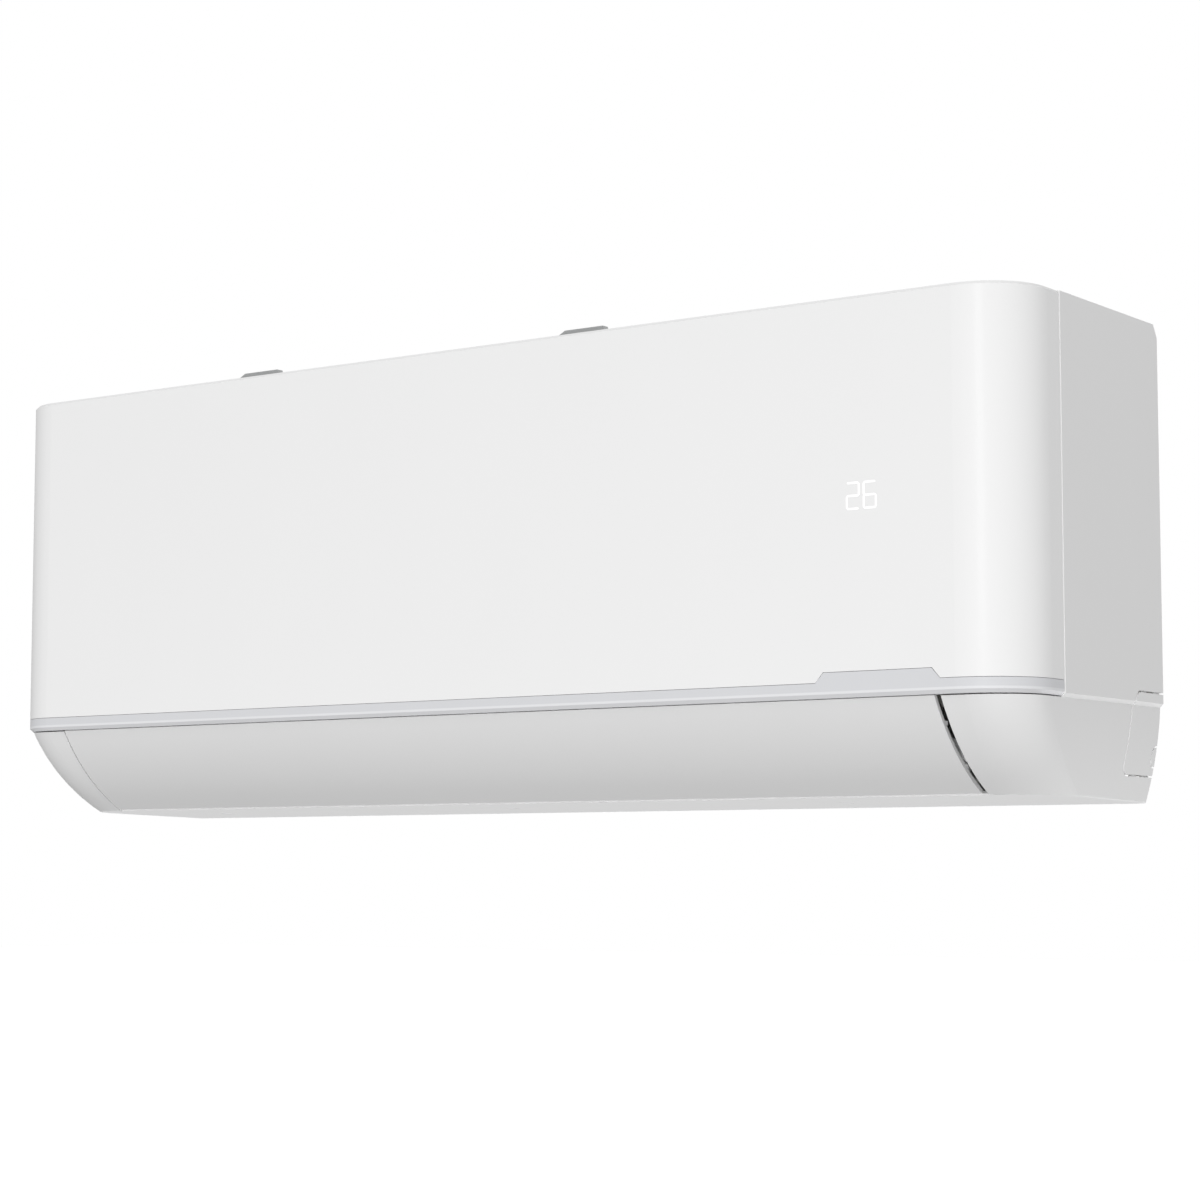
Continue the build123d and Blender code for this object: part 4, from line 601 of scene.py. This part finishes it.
def add_nets():
    """The fine net of each filter, in place of the solid sheets."""
    material = FINISHES["filter_net"]
    group = net_group(material)
    grip = Vector((NET_GRIP, NET_GRIP, 0))
    for side in ("left", "right"):
        lo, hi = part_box("filter_mesh_" + side)
        lo = lo - grip
        hi = hi + grip
        middle = (lo + hi) / 2
        span = hi - lo
        count_x = int(span.x / NET_PITCH)
        count_y = int(span.y / NET_PITCH)
        step_x = span.x / (count_x + 1)
        step_y = span.y / (count_y + 1)
        mesh = made_by(group, "filter_net_" + side, {
            "Thread": NET_THREAD_R,
            "Width": span.x,
            "Depth": span.y,
            "Count X": count_x,
            "First X": (lo.x + step_x, middle.y, middle.z + NET_ROWS_APART / 2),
            "Step X": (step_x, 0.0, 0.0),
            "Count Y": count_y,
            "First Y": (middle.x, lo.y + step_y, middle.z - NET_ROWS_APART / 2),
            "Step Y": (0.0, step_y, 0.0),
        })
        net = new_piece("filter_net_" + side, mesh, "filter_" + side, material)
        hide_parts("filter_mesh_" + side)


# ---------------------------------------------------------------- coil fins
def fin_group(material):
    """A row of thin rippled fins, all turned alike about X."""
    group, given, last = start_group("coil fins", {
        "Fin": "Vector", "Ripple": "Float", "Waves": "Float",
        "Count": "Int", "First": "Vector", "Step": "Vector", "Turn": "Rotation",
    })
    plate = node(group, "GeometryNodeMeshCube", Size=given["Fin"],
                 Vertices_Y=2 + POINTS_PER_RIPPLE * FIN_RIPPLES)
    where = group.nodes.new("GeometryNodeInputPosition")
    across = node(group, "ShaderNodeSeparateXYZ", Vector=where.outputs["Position"]).outputs["Y"]
    swing = maths(group, "SINE", maths(group, "MULTIPLY", across, given["Waves"]))
    ripple = node(group, "ShaderNodeCombineXYZ", X=maths(group, "MULTIPLY", swing, given["Ripple"]))
    wavy = node(group, "GeometryNodeSetPosition", Geometry=plate.outputs["Mesh"],
                Offset=ripple.outputs["Vector"])
    fins = row(group, wavy.outputs["Geometry"], given["Count"], given["First"], given["Step"],
               given["Turn"])
    close_group(group, last, fins, material)
    return group


def add_fins():
    """Hundreds of thin fins, in place of the three solid blocks."""
    material = FINISHES["fin_aluminium"]
    group = fin_group(material)
    count = int((COIL_X[1] - COIL_X[0] - 2 * FIN_SHORT) / FIN_PITCH)
    first_x = COIL_X[0] + FIN_SHORT + FIN_PITCH / 2
    depth = COIL_THICKNESS - 2 * FIN_SHORT
    for solid, foot, head in COIL_BLOCKS:
        run_y = head[0] - foot[0]
        run_z = head[1] - foot[1]
        height = math.hypot(run_y, run_z) - 2 * FIN_SHORT
        name = solid.replace("coil_fins", "fin_row")
        mesh = made_by(group, name, {
            "Fin": (FIN_THICKNESS, depth, height),
            "Ripple": FIN_WAVE,
            "Waves": 2 * math.pi * FIN_RIPPLES / depth,
            "Count": count,
            "First": (first_x, (foot[0] + head[0]) / 2, (foot[1] + head[1]) / 2),
            "Step": (FIN_PITCH, 0.0, 0.0),
            "Turn": (math.atan2(-run_y, run_z), 0.0, 0.0),
        })
        fins = new_piece(name, mesh, BODY_OF[solid], material)
        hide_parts(solid)


# ---------------------------------------------------------------- stud threads
def thread_group(material):
    """A three-sided ridge wound round a stud that lies along X."""
    group, given, last = start_group("stud thread", {
        "Turns": "Float", "Radius": "Float", "Length": "Float", "Ridge": "Float",
        "Start": "Vector",
    })
    helix = node(group, "GeometryNodeCurveSpiral", Resolution=THREAD_STEPS,
                 Rotations=given["Turns"], Height=given["Length"],
                 Start_Radius=given["Radius"], End_Radius=given["Radius"])
    ridge = node(group, "GeometryNodeCurvePrimitiveCircle", Resolution=THREAD_RIDGE_SIDES,
                 Radius=given["Ridge"])
    wound = node(group, "GeometryNodeCurveToMesh", Curve=helix.outputs["Curve"],
                 Profile_Curve=ridge.outputs["Curve"], Fill_Caps=True)
    laid = node(group, "GeometryNodeTransform", Geometry=wound.outputs["Mesh"],
                Translation=given["Start"], Rotation=(0.0, QUARTER_TURN, 0.0))
    close_group(group, last, laid.outputs["Geometry"], material)
    return group


def add_threads():
    """Threads on the two flare studs."""
    material = FINISHES["brass"]
    group = thread_group(material)
    length = STUD_X[1] - STUD_X[0]
    for name, z, radius in STUDS:
        mesh = made_by(group, name, {
            "Turns": length / THREAD_PITCH,
            "Radius": radius,
            "Length": length,
            "Ridge": THREAD_RIDGE,
            "Start": (STUD_X[0], STUD_Y, z),
        })
        new_piece(name, mesh, BODY_OF["gas_fitting"], material)


add_camera()
add_room()
add_floor()
add_lights()
dress_solids()
add_digits()
add_nets()
add_fins()
add_threads()
